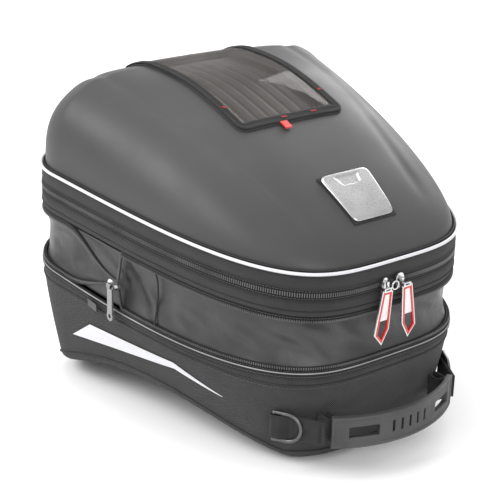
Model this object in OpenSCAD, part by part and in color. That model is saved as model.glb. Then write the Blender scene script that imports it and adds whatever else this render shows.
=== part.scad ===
// Expandable motorcycle tank bag with a hinged moulded lid, a telephone pocket,
// a zipped expansion gusset and a quick-lock ring under the base.
// X runs across the bag, -Y is the handle end, +Y the far end, +Z is up.
// The origin is the middle of the quick-lock ring's bore, where the bag meets the tank.
// All rings of the bag follow one plan outline; every seam is that outline at a height
// that changes along Y.

/* [Plan outline] */
// Length of the bag without its handle
bag_length = 332; // [320:2:350]
// Half width of the outline at the handle end, before its corners are rounded
half_width_near = 121; // [115:1:127]
// Half width of the outline at the far end, before its corners are rounded
half_width_far = 162; // [155:1:168]
// Place along Y where the two end curves meet
mid_y = 92; // [85:1:98]
// Squareness of the handle end
near_square = 3.9; // [3.4:0.1:4.2]
// Squareness of the far end
far_square = 2.2; // [2:0.1:2.6]

/* [Seam heights] */
// Height of the lower expansion chain halfway along
lower_chain_level = 77; // [74:1:80]
// Height of the upper expansion chain halfway along
upper_chain_level = 130; // [126:1:132]
// Height of the main zip halfway along
main_zip_level = 149; // [146:1:152]
// Height of the piping halfway along
piping_level = 167; // [164:1:170]
// Rise of every seam per millimetre along +Y
seam_slope = 0.1; // [0.08:0.005:0.11]

/* [Base] */
// Wall thickness of the moulded base
base_wall = 4; // [3:0.5:5]
// How far the base wall leans in from its top edge to its foot
base_taper = 12; // [9:1:15]
// Radius between the wall and the floor
foot_radius = 14; // [8:1:18]
// Rise of the arch under the base
arch_rise = 31; // [28:1:36]
// Height of the feet that the bag rests on
feet_level = -20; // [-22:1:-18]

/* [Lid] */
// Height of the lid above the piping halfway along
lid_rise = 85.5; // [80:0.5:90]
// Wall thickness of the moulded lid
lid_wall = 3.5; // [2.5:0.5:5]
// Half width of the telephone pocket
pocket_half_width = 56.5; // [52:0.5:60]
// Near edge of the telephone pocket along Y
pocket_near_y = -38; // [-45:1:-30]
// Far edge of the telephone pocket along Y
pocket_far_y = 133; // [125:1:136]
// Height of the pocket cover above the lid at its near edge
pocket_near_lift = 3; // [2.6:0.2:5]
// Height of the pocket cover above the lid at its far edge
pocket_far_lift = 3.5; // [3:0.5:6]

/* [Quick-lock ring] */
// Radius of the bore that fits over the tank flange
lock_bore_r = 36; // [34:0.5:38]
// Outer radius of the ring
lock_outer_r = 54; // [52:0.5:56]
// Height of the ring
lock_height = 12; // [10:0.5:14]
// Pitch circle radius of the four screws
screw_circle_r = 46; // [44:0.5:48]

/* [Handle and rings] */
// Width of the handle between its two ends
handle_span = 134; // [128:1:138]
// How far the middle of the handle stands out from its ends
handle_bulge = 21; // [18:1:24]
// Height of the handle strap
handle_height = 27; // [24:1:29]
// Outer height of each D-ring
d_ring_height = 27; // [24:1:32]
// Wire thickness of each D-ring
d_ring_wire = 3.2; // [2.5:0.1:4]

/* [Hidden] */

half_len = bag_length / 2;
near_len = half_len + mid_y;
far_len = half_len - mid_y;
ring_n = 48;
lower_seam_dip = 8;
arch_y = 0;
arch_half = 135;
lid_sink = 3;
lid_slope = 0.043;
lid_bulge = -6.8;
lid_near_round = 1.73;
lid_side_round = 3.4;
lid_side_round_slope = 0.005;
lid_far_round = 2.13;
// Shallow channel between the lid's shoulders, which the pocket lies in
channel_depth = 5;
channel_half_width = 77.7;
channel_start = 26;
channel_length = 90;
base_top_gap = 5;
lock_y = arch_y;
floor_inset = base_taper + foot_radius;
gap = 0.3;
// Underside of the flat mounting area, just above the ring
pad_height = lock_height / 2 + gap;

// ---- outline and heights ----
function spow(v, e) = sign(v) * pow(abs(v), e);
function mix(a, b, t) = a + (b - a) * t;
function clamp01(v) = max(0, min(1, v));
function half_width(y) =
    mix(half_width_near, half_width_far, (y + half_len) / bag_length);
function end_len(y) = y > mid_y ? far_len : near_len;
function square_of(y) = y > mid_y ? far_square : near_square;
// Point of the outline at angle a, scaled by g about (0, mid_y) and inset by i
function plan_pt(a, g = 1, i = 0) =
    let (s = sin(a), far = s > 0)
    let (y = mid_y + ((far ? far_len : near_len) - i) * g
             * spow(s, 2 / (far ? far_square : near_square)))
    [(half_width(y) - i) * g * spow(cos(a), 2 / (far ? far_square : near_square)), y];
function seam_z(y, level, dip = 0) = level + seam_slope * y + dip * pow(y / half_len, 2);
function z_lower(y) = seam_z(y, lower_chain_level, lower_seam_dip);
function z_upper(y) = seam_z(y, upper_chain_level);
function z_main(y) = seam_z(y, main_zip_level);
function z_piping(y) = seam_z(y, piping_level);
function z_foot(y) =
    feet_level + max(0, arch_rise * (1 - pow((y - arch_y) / arch_half, 2)));

// Gauge of a point: 1 on the outline, 0 at (0, mid_y)
function gauge(x, y, i) =
    let (p = square_of(y), u = abs(x) / (half_width(y) - i),
         v = abs(y - mid_y) / (end_len(y) - i))
    pow(pow(u, p) + pow(v, p), 1 / p);
function lid_round(y, g) =
    let (v = abs(y - mid_y) / end_len(y), w = pow(clamp01(v / max(g, 0.001)), 0.644),
         side = lid_side_round + lid_side_round_slope * y)
    mix(side, y > mid_y ? lid_far_round : lid_near_round, w);
function ease(t) = let (c = clamp01(t)) c * c * (3 - 2 * c);
function channel(x, y, g) =
    channel_depth * exp(-pow(abs(x) / channel_half_width, 4))
        * ease((y - channel_start) / channel_length) * ease((1 - g) / 0.25);
function lid_height(y) = lid_rise + lid_slope * y + lid_bulge * pow(y / 100, 2);
// Height of the lid skin, thinned by t
function lid_z(x, y, t = 0) =
    let (g = min(1, gauge(x, y, lid_sink + t)), q = lid_round(y, g))
    z_piping(y) + (lid_height(y) - t) * pow(max(0, 1 - pow(g, q)), 1 / q) - channel(x, y, g);

// ---- ring builders ----
function ring(i, zf, g = 1) =
    [for (k = [0:ring_n - 1])
        let (p = plan_pt(360 * k / ring_n, g, i)) [p[0], p[1], zf(p[1])]];
function lid_ring(g, t) =
    [for (k = [0:ring_n - 1])
        let (p = plan_pt(360 * k / ring_n, g, lid_sink + t))
        [p[0], p[1], lid_z(p[0], p[1], t)]];
function flat(v) = [for (a = v) for (b = a) b];
// Triangles between two rings. An outer and an inner wall are split along
// opposite diagonals, so that walls an even distance apart stay parallel
function strip_faces(a, b, n, turned = false) =
    [for (k = [0:n - 1]) let (j = (k + 1) % n) each
        turned ? [[a + k, b + k, a + j], [a + j, b + k, b + j]]
               : [[a + k, b + k, b + j], [a + k, b + j, a + j]]];

// Closed body between a bottom pole, stacked rings and a top pole
module loft(rings, pole_a, pole_b) {
    n = len(rings[0]);
    m = len(rings);
    points = concat([pole_a], flat(rings), [pole_b]);
    last = m * n + 1;
    faces = concat(
        [for (k = [0:n - 1]) [0, 1 + k, 1 + (k + 1) % n]],
        flat([for (r = [0:m - 2]) strip_faces(1 + r * n, 1 + (r + 1) * n, n, r >= m / 2)]),
        [for (k = [0:n - 1]) [1 + (m - 1) * n + k, last, 1 + (m - 1) * n + (k + 1) % n]]
    );
    polyhedron(points = points, faces = faces, convexity = 6);
}

// Closed band: the list of rings is the closed cross-section, in order
module band(rings) {
    n = len(rings[0]);
    m = len(rings);
    faces = flat([for (r = [0:m - 1]) strip_faces(r * n, ((r + 1) % m) * n, n, r >= m / 2)]);
    polyhedron(points = flat(rings), faces = faces, convexity = 6);
}

// Solid swept along +Y through sections that each hold an upper row of points
// and then a lower row, both in order along X
module sweep(sections) {
    n = len(sections[0]);
    m = len(sections);
    rows = [for (s = sections) concat([for (k = [0:n / 2 - 1]) s[n / 2 + k]],
                                      [for (k = [n / 2 - 1:-1:0]) s[k]])];
    end = (m - 1) * n;
    faces = concat(
        [for (k = [0:n / 2 - 2]) each
            [[k + 1, k, n - 1 - k], [n - 2 - k, k + 1, n - 1 - k]]],
        [for (r = [0:m - 2]) each
            [for (f = strip_faces(r * n, (r + 1) * n, n)) [f[2], f[1], f[0]]]],
        [for (k = [0:n / 2 - 2]) each
            [[end + n - 1 - k, end + k, end + k + 1],
             [end + n - 1 - k, end + k + 1, end + n - 2 - k]]]
    );
    polyhedron(points = flat(rows), faces = faces, convexity = 6);
}

// Rectangular band from inset i0 to i1 and from height za to zb over a seam
module seam_band(i0, i1, seam, za, zb) {
    low = function (y) seam(y) + za;
    high = function (y) seam(y) + zb;
    band([ring(i1, low), ring(i0, low), ring(i0, high), ring(i1, high)]);
}
seam_lower = function (y) z_lower(y);
seam_upper = function (y) z_upper(y);
seam_main = function (y) z_main(y);

// ---- base ----
// Height on the base wall at fraction u from the top edge to the foot curve
function wall_z(y, u) = mix(z_lower(y) - base_top_gap, z_foot(y) + foot_radius, u);
function wall_inset(u) = base_taper * pow(u, 1.3);
function floor_z(x, y) =
    let (w = clamp01((gauge(x, y, floor_inset) - 0.64) / 0.36)) mix(pad_height, z_foot(y), w * w);
function wall_ring(u, t) = ring(wall_inset(u) + t, function (y) wall_z(y, u));
function foot_ring(f, t) =
    let (r = foot_radius - t)
    ring(base_taper + t + r * (1 - cos(f)),
         function (y) z_foot(y) + foot_radius - r * sin(f));
function floor_ring(g, t) =
    [for (k = [0:ring_n - 1])
        let (p = plan_pt(360 * k / ring_n, g, floor_inset))
        [p[0], p[1], floor_z(p[0], p[1]) + t]];
function floor_pole(t) = [0, mid_y, pad_height + t];
floor_levels = [0.64, 0.78, 0.9, 0.985];
function floor_rings(t) = [for (g = floor_levels) floor_ring(g, t)];
function side_rings(t) = concat(
    [for (f = [90, 60, 30]) foot_ring(f, t)],
    [for (u = [1, 0.66, 0.33]) wall_ring(u, t)],
    [ring(t, function (y) z_lower(y) - base_top_gap)]);
function reversed(v) = [for (k = [len(v) - 1:-1:0]) v[k]];

module screw_places() {
    for (k = [0:3])
        translate([screw_circle_r * cos(45 + 90 * k), lock_y + screw_circle_r * sin(45 + 90 * k), 0])
            children();
}

// Side walls with their rounded foot
module base_shell() {
    color("#3a3b3d") band(concat(side_rings(0), reversed(side_rings(base_wall))));
}
// Arched floor panel, drilled for the ring's screws
module base_floor() {
    color("#2f3032")
        difference() {
            loft(concat(floor_rings(0), reversed(floor_rings(base_wall))),
                 floor_pole(0), floor_pole(base_wall));
            screw_places() translate([0, 0, pad_height - 4])
                cylinder(r = 2.8, h = base_wall + 8, $fn = 32);
        }
}

// The lining's floor is lifted over the board and the ring's backing plate
lining_thick = 1.2;
lining_start = base_wall + gap;
lining_lift = 2.6;
function lining_rings(t) = concat(floor_rings(t + lining_lift), side_rings(t));
module base_lining() {
    stop = lining_start + lining_thick;
    color("#55575a")
        loft(concat(lining_rings(lining_start), reversed(lining_rings(stop))),
             floor_pole(lining_start + lining_lift), floor_pole(stop + lining_lift));
}

board_thick = 2;
module floor_board() {
    low = base_wall + gap;
    levels = [for (k = [0:2]) floor_levels[k]];
    high = low + board_thick;
    color("#202225")
        difference() {
            loft(concat([for (g = levels) floor_ring(g, low)],
                        [for (g = reversed(levels)) floor_ring(g, high)]),
                 floor_pole(low), floor_pole(high));
            translate([0, lock_y, pad_height]) cylinder(r = lock_outer_r + 2, h = 20, $fn = 48);
        }
}

module base_binding() {
    color("#2a2b2d")
        seam_band(-0.8, 3.6, seam_lower, -base_top_gap, -1);
}

// ---- zip chains: a woven tape with a raised row of teeth along one edge ----
module chain(seam, tape_low, tape_high, teeth_low, teeth_high, tint) {
    at = function (dz) function (y) seam(y) + dz;
    color(tint)
        band([ring(2.4, at(tape_low)), ring(1.2, at(tape_low)), ring(1.2, at(teeth_low)),
              ring(-0.9, at(teeth_low)), ring(-0.9, at(teeth_high)), ring(1.2, at(teeth_high)),
              ring(1.2, at(tape_high)), ring(2.4, at(tape_high))]);
}
module lower_expansion_chain() { chain(seam_lower, -1, 4, 1.4, 3.8, "#1b1c1e"); }
module upper_expansion_chain() { chain(seam_upper, -4, 1, -3.8, -1.4, "#1b1c1e"); }
module main_zip_lower_chain() { chain(seam_main, -4, -0.2, -2.4, -0.3, "#1b1c1e"); }
module main_zip_upper_chain() { chain(seam_main, 0.2, 4, 0.3, 2.4, "#1b1c1e"); }

module expansion_gusset() {
    thick = 1;
    steps = 4;
    // Inset of the fabric at fraction t of its height: it hangs inwards in the middle
    sag = function (t) 2.4 + 5 * sin(180 * t);
    level = function (t) function (y) mix(z_lower(y) + 4, z_upper(y) - 4, t);
    color("#2f3033")
        band(concat([for (k = [0:steps]) ring(sag(k / steps), level(k / steps))],
                    [for (k = [steps:-1:0]) ring(sag(k / steps) + thick, level(k / steps))]));
}

module expansion_zip_garage() {
    y = 40;
    color("#17181a")
        translate([-half_width(y) - 3, y, z_lower(y) - 7])
            rotate([0, -4, -7]) cube([1.4, 16, 7], center = true);
}

// Coil-zip slider body with its bridge, lying in the YZ plane with +X outwards
module slider_body(tint) {
    color(tint) {
        hull() {
            translate([0, -4.5, 0]) rotate([0, 90, 0]) cylinder(r = 2.6, h = 3, $fn = 24);
            translate([0, 3.5, 0]) rotate([0, 90, 0]) cylinder(r = 4.2, h = 3, $fn = 24);
        }
        difference() {
            translate([2.8, -4.5, -1.2]) cube([3.6, 9, 2.4]);
            translate([2.8, -3, -2]) cube([2.2, 6, 4]);
        }
    }
}

slider_y = 12;
slider_x = half_width(slider_y);
slider_z = z_lower(slider_y) + 23.5;
slider_stand = 1.6;
// Middle of the bar of a slider's bridge, measured out from the slider's foot
bridge_bar = 5.7;
tab_pivot = [-slider_x - slider_stand - bridge_bar, slider_y, slider_z];
module expansion_slider() {
    translate([-slider_x - slider_stand, slider_y, slider_z]) mirror([1, 0, 0]) slider_body("#b9bcc0");
}
// Plain tab whose eye turns round the bar of the slider's bridge, with a hole at its foot
module expansion_pull_tab() {
    color("#8f9296")
        translate(tab_pivot) {
            difference() {
                union() {
                    translate([0, 2.4, 0]) rotate([90, 0, 0]) cylinder(r = 2.45, h = 4.8, $fn = 32);
                    translate([-0.8, -3.4, -27]) cube([1.6, 6.8, 25]);
                    translate([-0.8, 0, -27]) rotate([0, 90, 0]) cylinder(r = 4.2, h = 1.6, $fn = 32);
                }
                translate([0, 4, 0]) rotate([90, 0, 0]) cylinder(r = 1.75, h = 8, $fn = 32);
                translate([-2, 0, -27]) rotate([0, 90, 0]) cylinder(r = 1.8, h = 5, $fn = 24);
            }
        }
}

// ---- collar: the fabric band between the expansion and the main zip ----
module collar_band() {
    at_low = function (dz) function (y) z_upper(y) + dz;
    at_high = function (dz) function (y) z_main(y) + dz;
    color("#3c3d3f")
        band([ring(3.2, at_low(1)), ring(0.4, at_low(1)), ring(-0.6, at_low(4)),
              ring(-0.4, at_high(-6)), ring(0.6, at_high(-4)), ring(3.2, at_high(-4))]);
}
module collar_lining() {
    at_low = function (dz) function (y) z_upper(y) + dz;
    at_high = function (dz) function (y) z_main(y) + dz;
    color("#55575a")
        band([ring(6.2, at_low(1)), ring(5, at_low(1)), ring(5, at_high(-4)),
              ring(6.2, at_high(-4))]);
}
// Plastic hoop between the band and its lining, which keeps the mouth of the bag open
module collar_hoop() {
    color("#202225")
        seam_band(3.4, 4.8, seam_main, -14, -6);
}

// ---- main zip sliders and their pulls ----
zip_meeting_x = -6;
pull_pivot_z = z_main(-half_len) - 0.5;
function slider_place(side) = [zip_meeting_x + side * 8, -half_len - 1.0, pull_pivot_z];
module main_slider(side) {
    translate(slider_place(side)) rotate([0, 0, -90])
        rotate([side * 90, 0, 0]) slider_body("#c9cbce");
}
module main_slider_left() { main_slider(-1); }
module main_slider_right() { main_slider(1); }
module slider_lock_ring() {
    color("#d6d8da")
        translate([zip_meeting_x, -half_len - 7.4, pull_pivot_z])
            rotate([90, 0, 0]) rotate_extrude($fn = 32) translate([3.4, 0]) circle(r = 0.7, $fn = 16);
}

pull_drop = 46;
pull_width = 15;
pull_face_y = -half_len - 8.4;
function pull_x(side) = zip_meeting_x + side * 10.5;
// Outline of a long tapering pull with a pointed foot, seen from -Y
function pull_outline(w, drop, point) =
    [[-w * 0.36, 0], [w * 0.36, 0], [w * 0.5, -drop + point], [w * 0.12, -drop],
     [-w * 0.5, -drop + point * 0.62]];
module pull_plate(side, inset, thick) {
    translate([pull_x(side), pull_face_y, pull_pivot_z - 1.4])
        rotate([90, 0, 0]) rotate([0, 0, side * 7]) mirror([side < 0 ? 0 : 1, 0, 0])
            linear_extrude(thick) offset(delta = -inset)
                polygon(pull_outline(pull_width, pull_drop, 14));
}
module pull_frame(side) {
    color("#b02a25")
        difference() {
            pull_plate(side, 0, 2.4);
            translate([0, 1, 0]) pull_plate(side, 2.6, 6);
        }
    color("#c9cbce")
        translate([pull_x(side), pull_face_y, pull_pivot_z])
            difference() {
                translate([-4, -2.4, -2.6]) cube([8, 2.4, 3.8]);
                translate([-2.4, -3, -1.2]) cube([4.8, 4, 1.2]);
            }
}
module pull_inlay(side) {
    color("#d9dadc")
        difference() {
            translate([0, -0.6, 0]) pull_plate(side, 2.9, 1.2);
            translate([pull_x(side) - 20, -half_len - 20, pull_pivot_z - 64]) cube([40, 30, 38]);
            translate([pull_x(side) - 20, -half_len - 20, pull_pivot_z - 4.4]) cube([40, 30, 10]);
        }
}
module pull_frame_left() { pull_frame(-1); }
module pull_frame_right() { pull_frame(1); }
module pull_inlay_left() { pull_inlay(-1); }
module pull_inlay_right() { pull_inlay(1); }

// ---- lid ----
module lid_band() {
    at_low = function (dz) function (y) z_main(y) + dz;
    at_high = function (dz) function (y) z_piping(y) + dz;
    color("#3c3d3f")
        band([ring(3.6, at_low(4)), ring(0.6, at_low(4)), ring(-0.4, at_low(7)),
              ring(-0.2, at_high(-4)), ring(0.4, at_high(-2)), ring(3.6, at_high(-2))]);
}
module lid_piping() {
    at = function (dz) function (y) z_piping(y) + dz;
    color("#d5d8da")
        band([ring(1.1, at(-1.8)), ring(-0.8, at(-1.4)), ring(-1.4, at(-0.2)),
              ring(-0.8, at(1.0)), ring(1.1, at(1.4))]);
}

lid_levels = [1, 0.985, 0.95, 0.88, 0.78, 0.62, 0.42, 0.2];
module lid_shell() {
    foot = function (y) z_piping(y) - 1.8;
    outer = concat([ring(lid_sink, foot)], [for (g = lid_levels) lid_ring(g, 0)]);
    inner = concat([ring(lid_sink + lid_wall, foot)],
                   [for (g = lid_levels) lid_ring(g, lid_wall)]);
    color("#4a4b4d")
        difference() {
            loft(concat(reversed(inner), outer),
                 [0, mid_y, lid_z(0, mid_y, lid_wall)], [0, mid_y, lid_z(0, mid_y)]);
            pocket_block(gap, -tray_depth - 4, 3);
        }
}
module lid_lining() {
    start = tray_depth + 3;
    stop = start + 1.2;
    foot = function (y) z_piping(y) - 1.8;
    levels = [1, 0.95, 0.85, 0.65, 0.35];
    outer = concat([ring(lid_sink + start, foot)], [for (g = levels) lid_ring(g, start)]);
    inner = concat([ring(lid_sink + stop, foot)], [for (g = levels) lid_ring(g, stop)]);
    color("#55575a")
        loft(concat(reversed(inner), outer),
             [0, mid_y, lid_z(0, mid_y, stop)], [0, mid_y, lid_z(0, mid_y, start)]);
}
// Fabric strap that hinges the lid at the far end, inside the zip line
module lid_hinge_fabric() {
    y = half_len - 9;
    color("#2f3033")
        translate([-50, y - 1.2, z_main(half_len) + 0.6]) cube([100, 1.2, 8]);
}

// ---- telephone pocket ----
// Height of the cover's outer face above the lid
function cover_lift(y) =
    mix(pocket_near_lift, pocket_far_lift,
        clamp01((y - pocket_near_y) / (pocket_far_y - pocket_near_y)));
// Patch over the lid between two heights: lo above the skin, hi above it or,
// with follow = true, both counted down from the cover's outer face
function patch_row(y, x0, x1, lo, hi, n, follow) =
    [for (h = [hi, lo]) for (k = [0:n])
        let (x = mix(x0, x1, k / n)) [x, y, lid_z(x, y) + h + (follow ? cover_lift(y) : 0)]];
module patch(x0, x1, y0, y1, lo, hi, rows = 10, cols = 6, follow = false) {
    sweep([for (r = [0:rows])
        patch_row(mix(y0, y1, r / rows), x0, x1, lo, hi, cols, follow)]);
}
cover_rim = 8;
rim_wall = 3;
pocket_corner = 9;
cover_thick = 1.4;
tray_depth = 6;
tray_half = pocket_half_width - 4.5;
// Block that follows the lid, grown by some millimetres past the tray's outline
module pocket_block(grow, lo, hi) {
    patch(-tray_half - grow, tray_half + grow, pocket_near_y + 4.5 - grow,
          pocket_far_y - 4.5 + grow, lo, hi);
}
// Padded tray under the window, sunk into the lid, which the telephone lies in
module pocket_back_pad() {
    color("#26211f")
        difference() {
            pocket_block(0, -tray_depth - 1.4, 0.1);
            pocket_block(-1.4, -tray_depth, 3);
        }
}
// Rounded rectangle of the pocket, inset by i, counted anticlockwise
function pocket_loop(i) =
    let (r = pocket_corner - i, x = pocket_half_width - i - r,
         near = pocket_near_y + i + r, far = pocket_far_y - i - r,
         corners = [[x, far], [-x, far], [-x, near], [x, near]], steps = [6, 12, 6, 12])
    [for (c = [0:3]) each concat(
        [for (a = [0:30:90]) corners[c] + r * [cos(90 * c + a), sin(90 * c + a)]],
        [for (t = [1:steps[c] - 1])
            mix(corners[c], corners[(c + 1) % 4], t / steps[c])
                + r * [cos(90 * c + 90), sin(90 * c + 90)]])];
function pocket_ring(i, zf) = [for (p = pocket_loop(i)) [p[0], p[1], zf(p[0], p[1])]];
// Low fabric wall round the pocket, which carries one half of its zip
module pocket_rim_wall() {
    low = function (x, y) lid_z(x, y) + 0.5;
    high = function (x, y) lid_z(x, y) + cover_lift(y) - cover_thick - gap;
    color("#202123")
        band([pocket_ring(rim_wall + 0.5, low), pocket_ring(0.5, low),
              pocket_ring(0.5, high), pocket_ring(rim_wall + 0.5, high)]);
}
// Flat rim that frames the window
module pocket_cover_frame() {
    top = function (x, y) lid_z(x, y) + cover_lift(y);
    under = function (x, y) lid_z(x, y) + cover_lift(y) - cover_thick;
    color("#2c2d2f")
        band([pocket_ring(cover_rim, under), pocket_ring(0, under), pocket_ring(0, top),
              pocket_ring(cover_rim, top)]);
}
module pocket_window() {
    w = pocket_half_width - cover_rim - gap;
    color("#9aa0a6", 0.4)
        patch(-w, w, pocket_near_y + cover_rim + gap, pocket_far_y - cover_rim - gap,
              -1.2, -0.4, 10, 6, true);
}
// Standing edge behind the cover, sewn to the lid, which carries its hinge seam
module pocket_far_wall() {
    color("#202123")
        sweep([for (y = [pocket_far_y + 0.6, pocket_far_y + 3.6])
            [for (top = [true, false]) for (k = [0:6])
                let (x = mix(-pocket_half_width, pocket_half_width, k / 6))
                [x, y, lid_z(x, y) + (top ? pocket_far_lift - cover_thick : 0.4)]]]);
}
// Red pull loop on the near edge of the cover
module pocket_pull_loop() {
    color("#b02a25")
        patch(-16, -9, pocket_near_y - 8, pocket_near_y - gap, 2, 3.2, 1, 1);
}

// ---- badge ----
badge_far_y = -99;
badge_near_y = -140;
// Width tapers towards the handle end
module badge_layer(grow, lo, hi, rows) {
    sweep([for (r = [0:rows])
        let (t = r / rows, y = mix(badge_near_y - grow, badge_far_y + grow, t),
             w = mix(21.5, 26, t) + grow)
        [for (lift = [hi, lo]) for (k = [0:6])
            let (x = mix(-w, w, k / 6)) [x, y, lid_z(x, y) + lift]]]);
}
module badge_gasket() { color("#151617") badge_layer(0.8, 0.35, 1.2, 6); }
module badge_plate() { color("#b6b8bb") badge_layer(0, 1.25, 4, 6); }

// ---- handle and D-rings ----
handle_y = -half_len - 9;
handle_z = 20;
handle_thick = 5;
handle_r = (pow(handle_span / 2, 2) + pow(handle_bulge, 2)) / (2 * handle_bulge);
handle_centre_y = handle_y - handle_bulge + handle_r;
handle_angle = asin(handle_span / 2 / handle_r);
module handle_strap() {
    color("#47484a")
        translate([0, handle_centre_y, handle_z])
            difference() {
                rotate([0, 0, 270 - handle_angle])
                    rotate_extrude(angle = 2 * handle_angle, $fn = 160)
                        translate([handle_r - handle_thick, -handle_height / 2])
                            square([handle_thick, handle_height]);
                for (side = [-1, 1])
                    rotate([0, 0, 270 + side * handle_angle * 0.62])
                        translate([handle_r - 10, -13, -4.5]) cube([20, 26, 9]);
                for (k = [-2:2])
                    rotate([0, 0, 270 + k * 4.2])
                        translate([handle_r - 10, -2, -6]) cube([20, 2, 12]);
            }
}
// Webbing block that ties one handle end to the base wall
module handle_anchor(side) {
    x = side * (handle_span / 2 - 6);
    face = base_face_y(abs(x) - 5, handle_z + 10) - gap;
    color("#2a2b2d")
        hull() {
            translate([x - 5, handle_y + 4.4, handle_z - 10]) cube([10, 1, 20]);
            translate([x - 5, face - 1, handle_z - 10]) cube([10, 1, 20]);
        }
}
module handle_anchor_left() { handle_anchor(-1); }
module handle_anchor_right() { handle_anchor(1); }

// Y of the base's outer face at the handle end for a given x and height
function base_face_y(x, z) =
    let (top = z_lower(-half_len) - base_top_gap,
         u = clamp01((top - z) / (top - z_foot(-half_len) - foot_radius)),
         i = wall_inset(u), w = half_width(-half_len + 20) - i)
    mid_y - (near_len - i)
        * pow(max(0, 1 - pow(min(1, abs(x) / w), near_square)), 1 / near_square);

ring_bar_x = 94.6;
ring_bar_y = -136.6;
ring_turn = 60;
d_z = handle_z;
// Each ring's frame: origin on its straight bar, +X along the webbing towards the handle
module at_ring(side) {
    translate([side * ring_bar_x, ring_bar_y, d_z])
        mirror([side > 0 ? 1 : 0, 0, 0]) rotate([0, 0, -ring_turn]) children();
}
module d_ring_strap(side) {
    color("#232426")
        at_ring(side) {
            difference() {
                translate([0, 0, -10]) cylinder(r = 3.6, h = 20, $fn = 32);
                translate([0, 0, -11]) cylinder(r = d_ring_wire / 2 + 0.3, h = 22, $fn = 32);
            }
            translate([2.6, 2.0, -10]) cube([40, 1.6, 20]);
        }
}
module d_ring_strap_left() { d_ring_strap(-1); }
module d_ring_strap_right() { d_ring_strap(1); }

module d_ring(side) {
    r = d_ring_wire / 2;
    h = d_ring_height / 2 - r;
    leg = 11;
    color("#3f4144")
        at_ring(side) {
            translate([0, 0, -h]) cylinder(r = r, h = 2 * h, $fn = 24);
            for (s = [-1, 1]) {
                translate([0, 0, s * h]) sphere(r = 1.12 * r, $fn = 24);
                translate([0, 0, s * h]) rotate([0, 90, 0]) cylinder(r = r, h = leg, $fn = 24);
            }
            translate([leg, 0, 0]) rotate([90, 0, 0]) rotate([0, 0, -90])
                rotate_extrude(angle = 180, $fn = 48) translate([h, 0]) circle(r = r, $fn = 24);
        }
}
module d_ring_left() { d_ring(-1); }
module d_ring_right() { d_ring(1); }

// ---- reflective flash on each side of the base ----
// Half width of the base's outer face at a given y and height
function base_face_x(y, z) =
    let (top = z_lower(y) - base_top_gap,
         i = wall_inset(clamp01((top - z) / (top - z_foot(y) - foot_radius))),
         v = min(1, abs(y - mid_y) / (end_len(y) - i)))
    (half_width(y) - i) * pow(1 - pow(v, square_of(y)), 1 / square_of(y));
flash_lift = 0.6;
flash_thick = 0.45;
flash_tip = [-94, 33];
flash_waist_y = -48;
flash_shoulder_y = 53;
flash_tail = [80, 31];
function flash_high(y) = lookup(y, [flash_tip, [flash_waist_y, 49.5], [flash_shoulder_y, 50], flash_tail]);
function flash_low(y) = lookup(y, [flash_tip, [flash_waist_y, 44], flash_tail]);
module reflective_flash(side) {
    lifts = side < 0 ? [flash_lift + flash_thick, flash_lift] : [flash_lift, flash_lift + flash_thick];
    rows = concat([for (k = [0:4]) mix(flash_tip[0], flash_waist_y, k / 4)],
                  [for (k = [1:6]) mix(flash_waist_y, flash_shoulder_y, k / 6)],
                  [for (k = [1:2]) mix(flash_shoulder_y, flash_tail[0], k / 2)]);
    color("#e4e6e8")
        sweep([for (y = rows) [for (lift = lifts)
            for (z = [flash_low(y) - 0.2, flash_high(y) + 0.2])
                [side * (base_face_x(y, z) + lift), y, z]]]);
}
module reflective_flash_left() { reflective_flash(-1); }
module reflective_flash_right() { reflective_flash(1); }

// ---- quick-lock ring ----
lock_low = pad_height - gap - lock_height;
// The bore's wall is the ring's lower part; above it a wider room takes the latch
bore_wall = lock_height / 2 + 0.4;
latch_room = 4;
latch_thick = lock_height - bore_wall - 1.4;
slot_w = 24;
module lock_ring() {
    color("#17181a")
        translate([0, lock_y, lock_low])
            difference() {
                cylinder(r = lock_outer_r, h = lock_height, $fn = 96);
                translate([0, 0, -1]) cylinder(r = lock_bore_r, h = lock_height + 2, $fn = 96);
                translate([0, 0, bore_wall])
                    cylinder(r = lock_bore_r + latch_room, h = lock_height, $fn = 96);
                translate([-slot_w / 2, -lock_outer_r - 1, bore_wall + 0.2])
                    cube([slot_w, lock_outer_r - 20, lock_height]);
                for (k = [0:3])
                    rotate([0, 0, 45 + 90 * k]) translate([screw_circle_r, 0, 0]) {
                        translate([0, 0, -1]) cylinder(r = 2.8, h = lock_height + 2, $fn = 32);
                        translate([0, 0, -1]) cylinder(r = 5, h = 4.2, $fn = 32);
                    }
            }
}
module lock_backing_plate() {
    color("#8f9296")
        translate([0, lock_y, pad_height + base_wall + gap])
            difference() {
                cylinder(r = lock_outer_r, h = 2, $fn = 96);
                translate([0, 0, -1]) cylinder(r = lock_bore_r, h = 4, $fn = 96);
                for (k = [0:3])
                    rotate([0, 0, 45 + 90 * k]) translate([screw_circle_r, 0, -1])
                        cylinder(r = 2.5, h = 4, $fn = 32);
            }
}
module lock_screws() {
    color("#b9bcc0")
        screw_places() translate([0, 0, lock_low]) {
            difference() {
                translate([0, 0, 0.6]) cylinder(r = 4.6, h = 2.6, $fn = 32);
                translate([0, 0, 0]) cylinder(r = 1.5, h = 2, $fn = 6);
            }
            translate([0, 0, 3.1]) cylinder(r = 2.45, h = lock_height + base_wall - 0.8, $fn = 32);
        }
}
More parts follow.
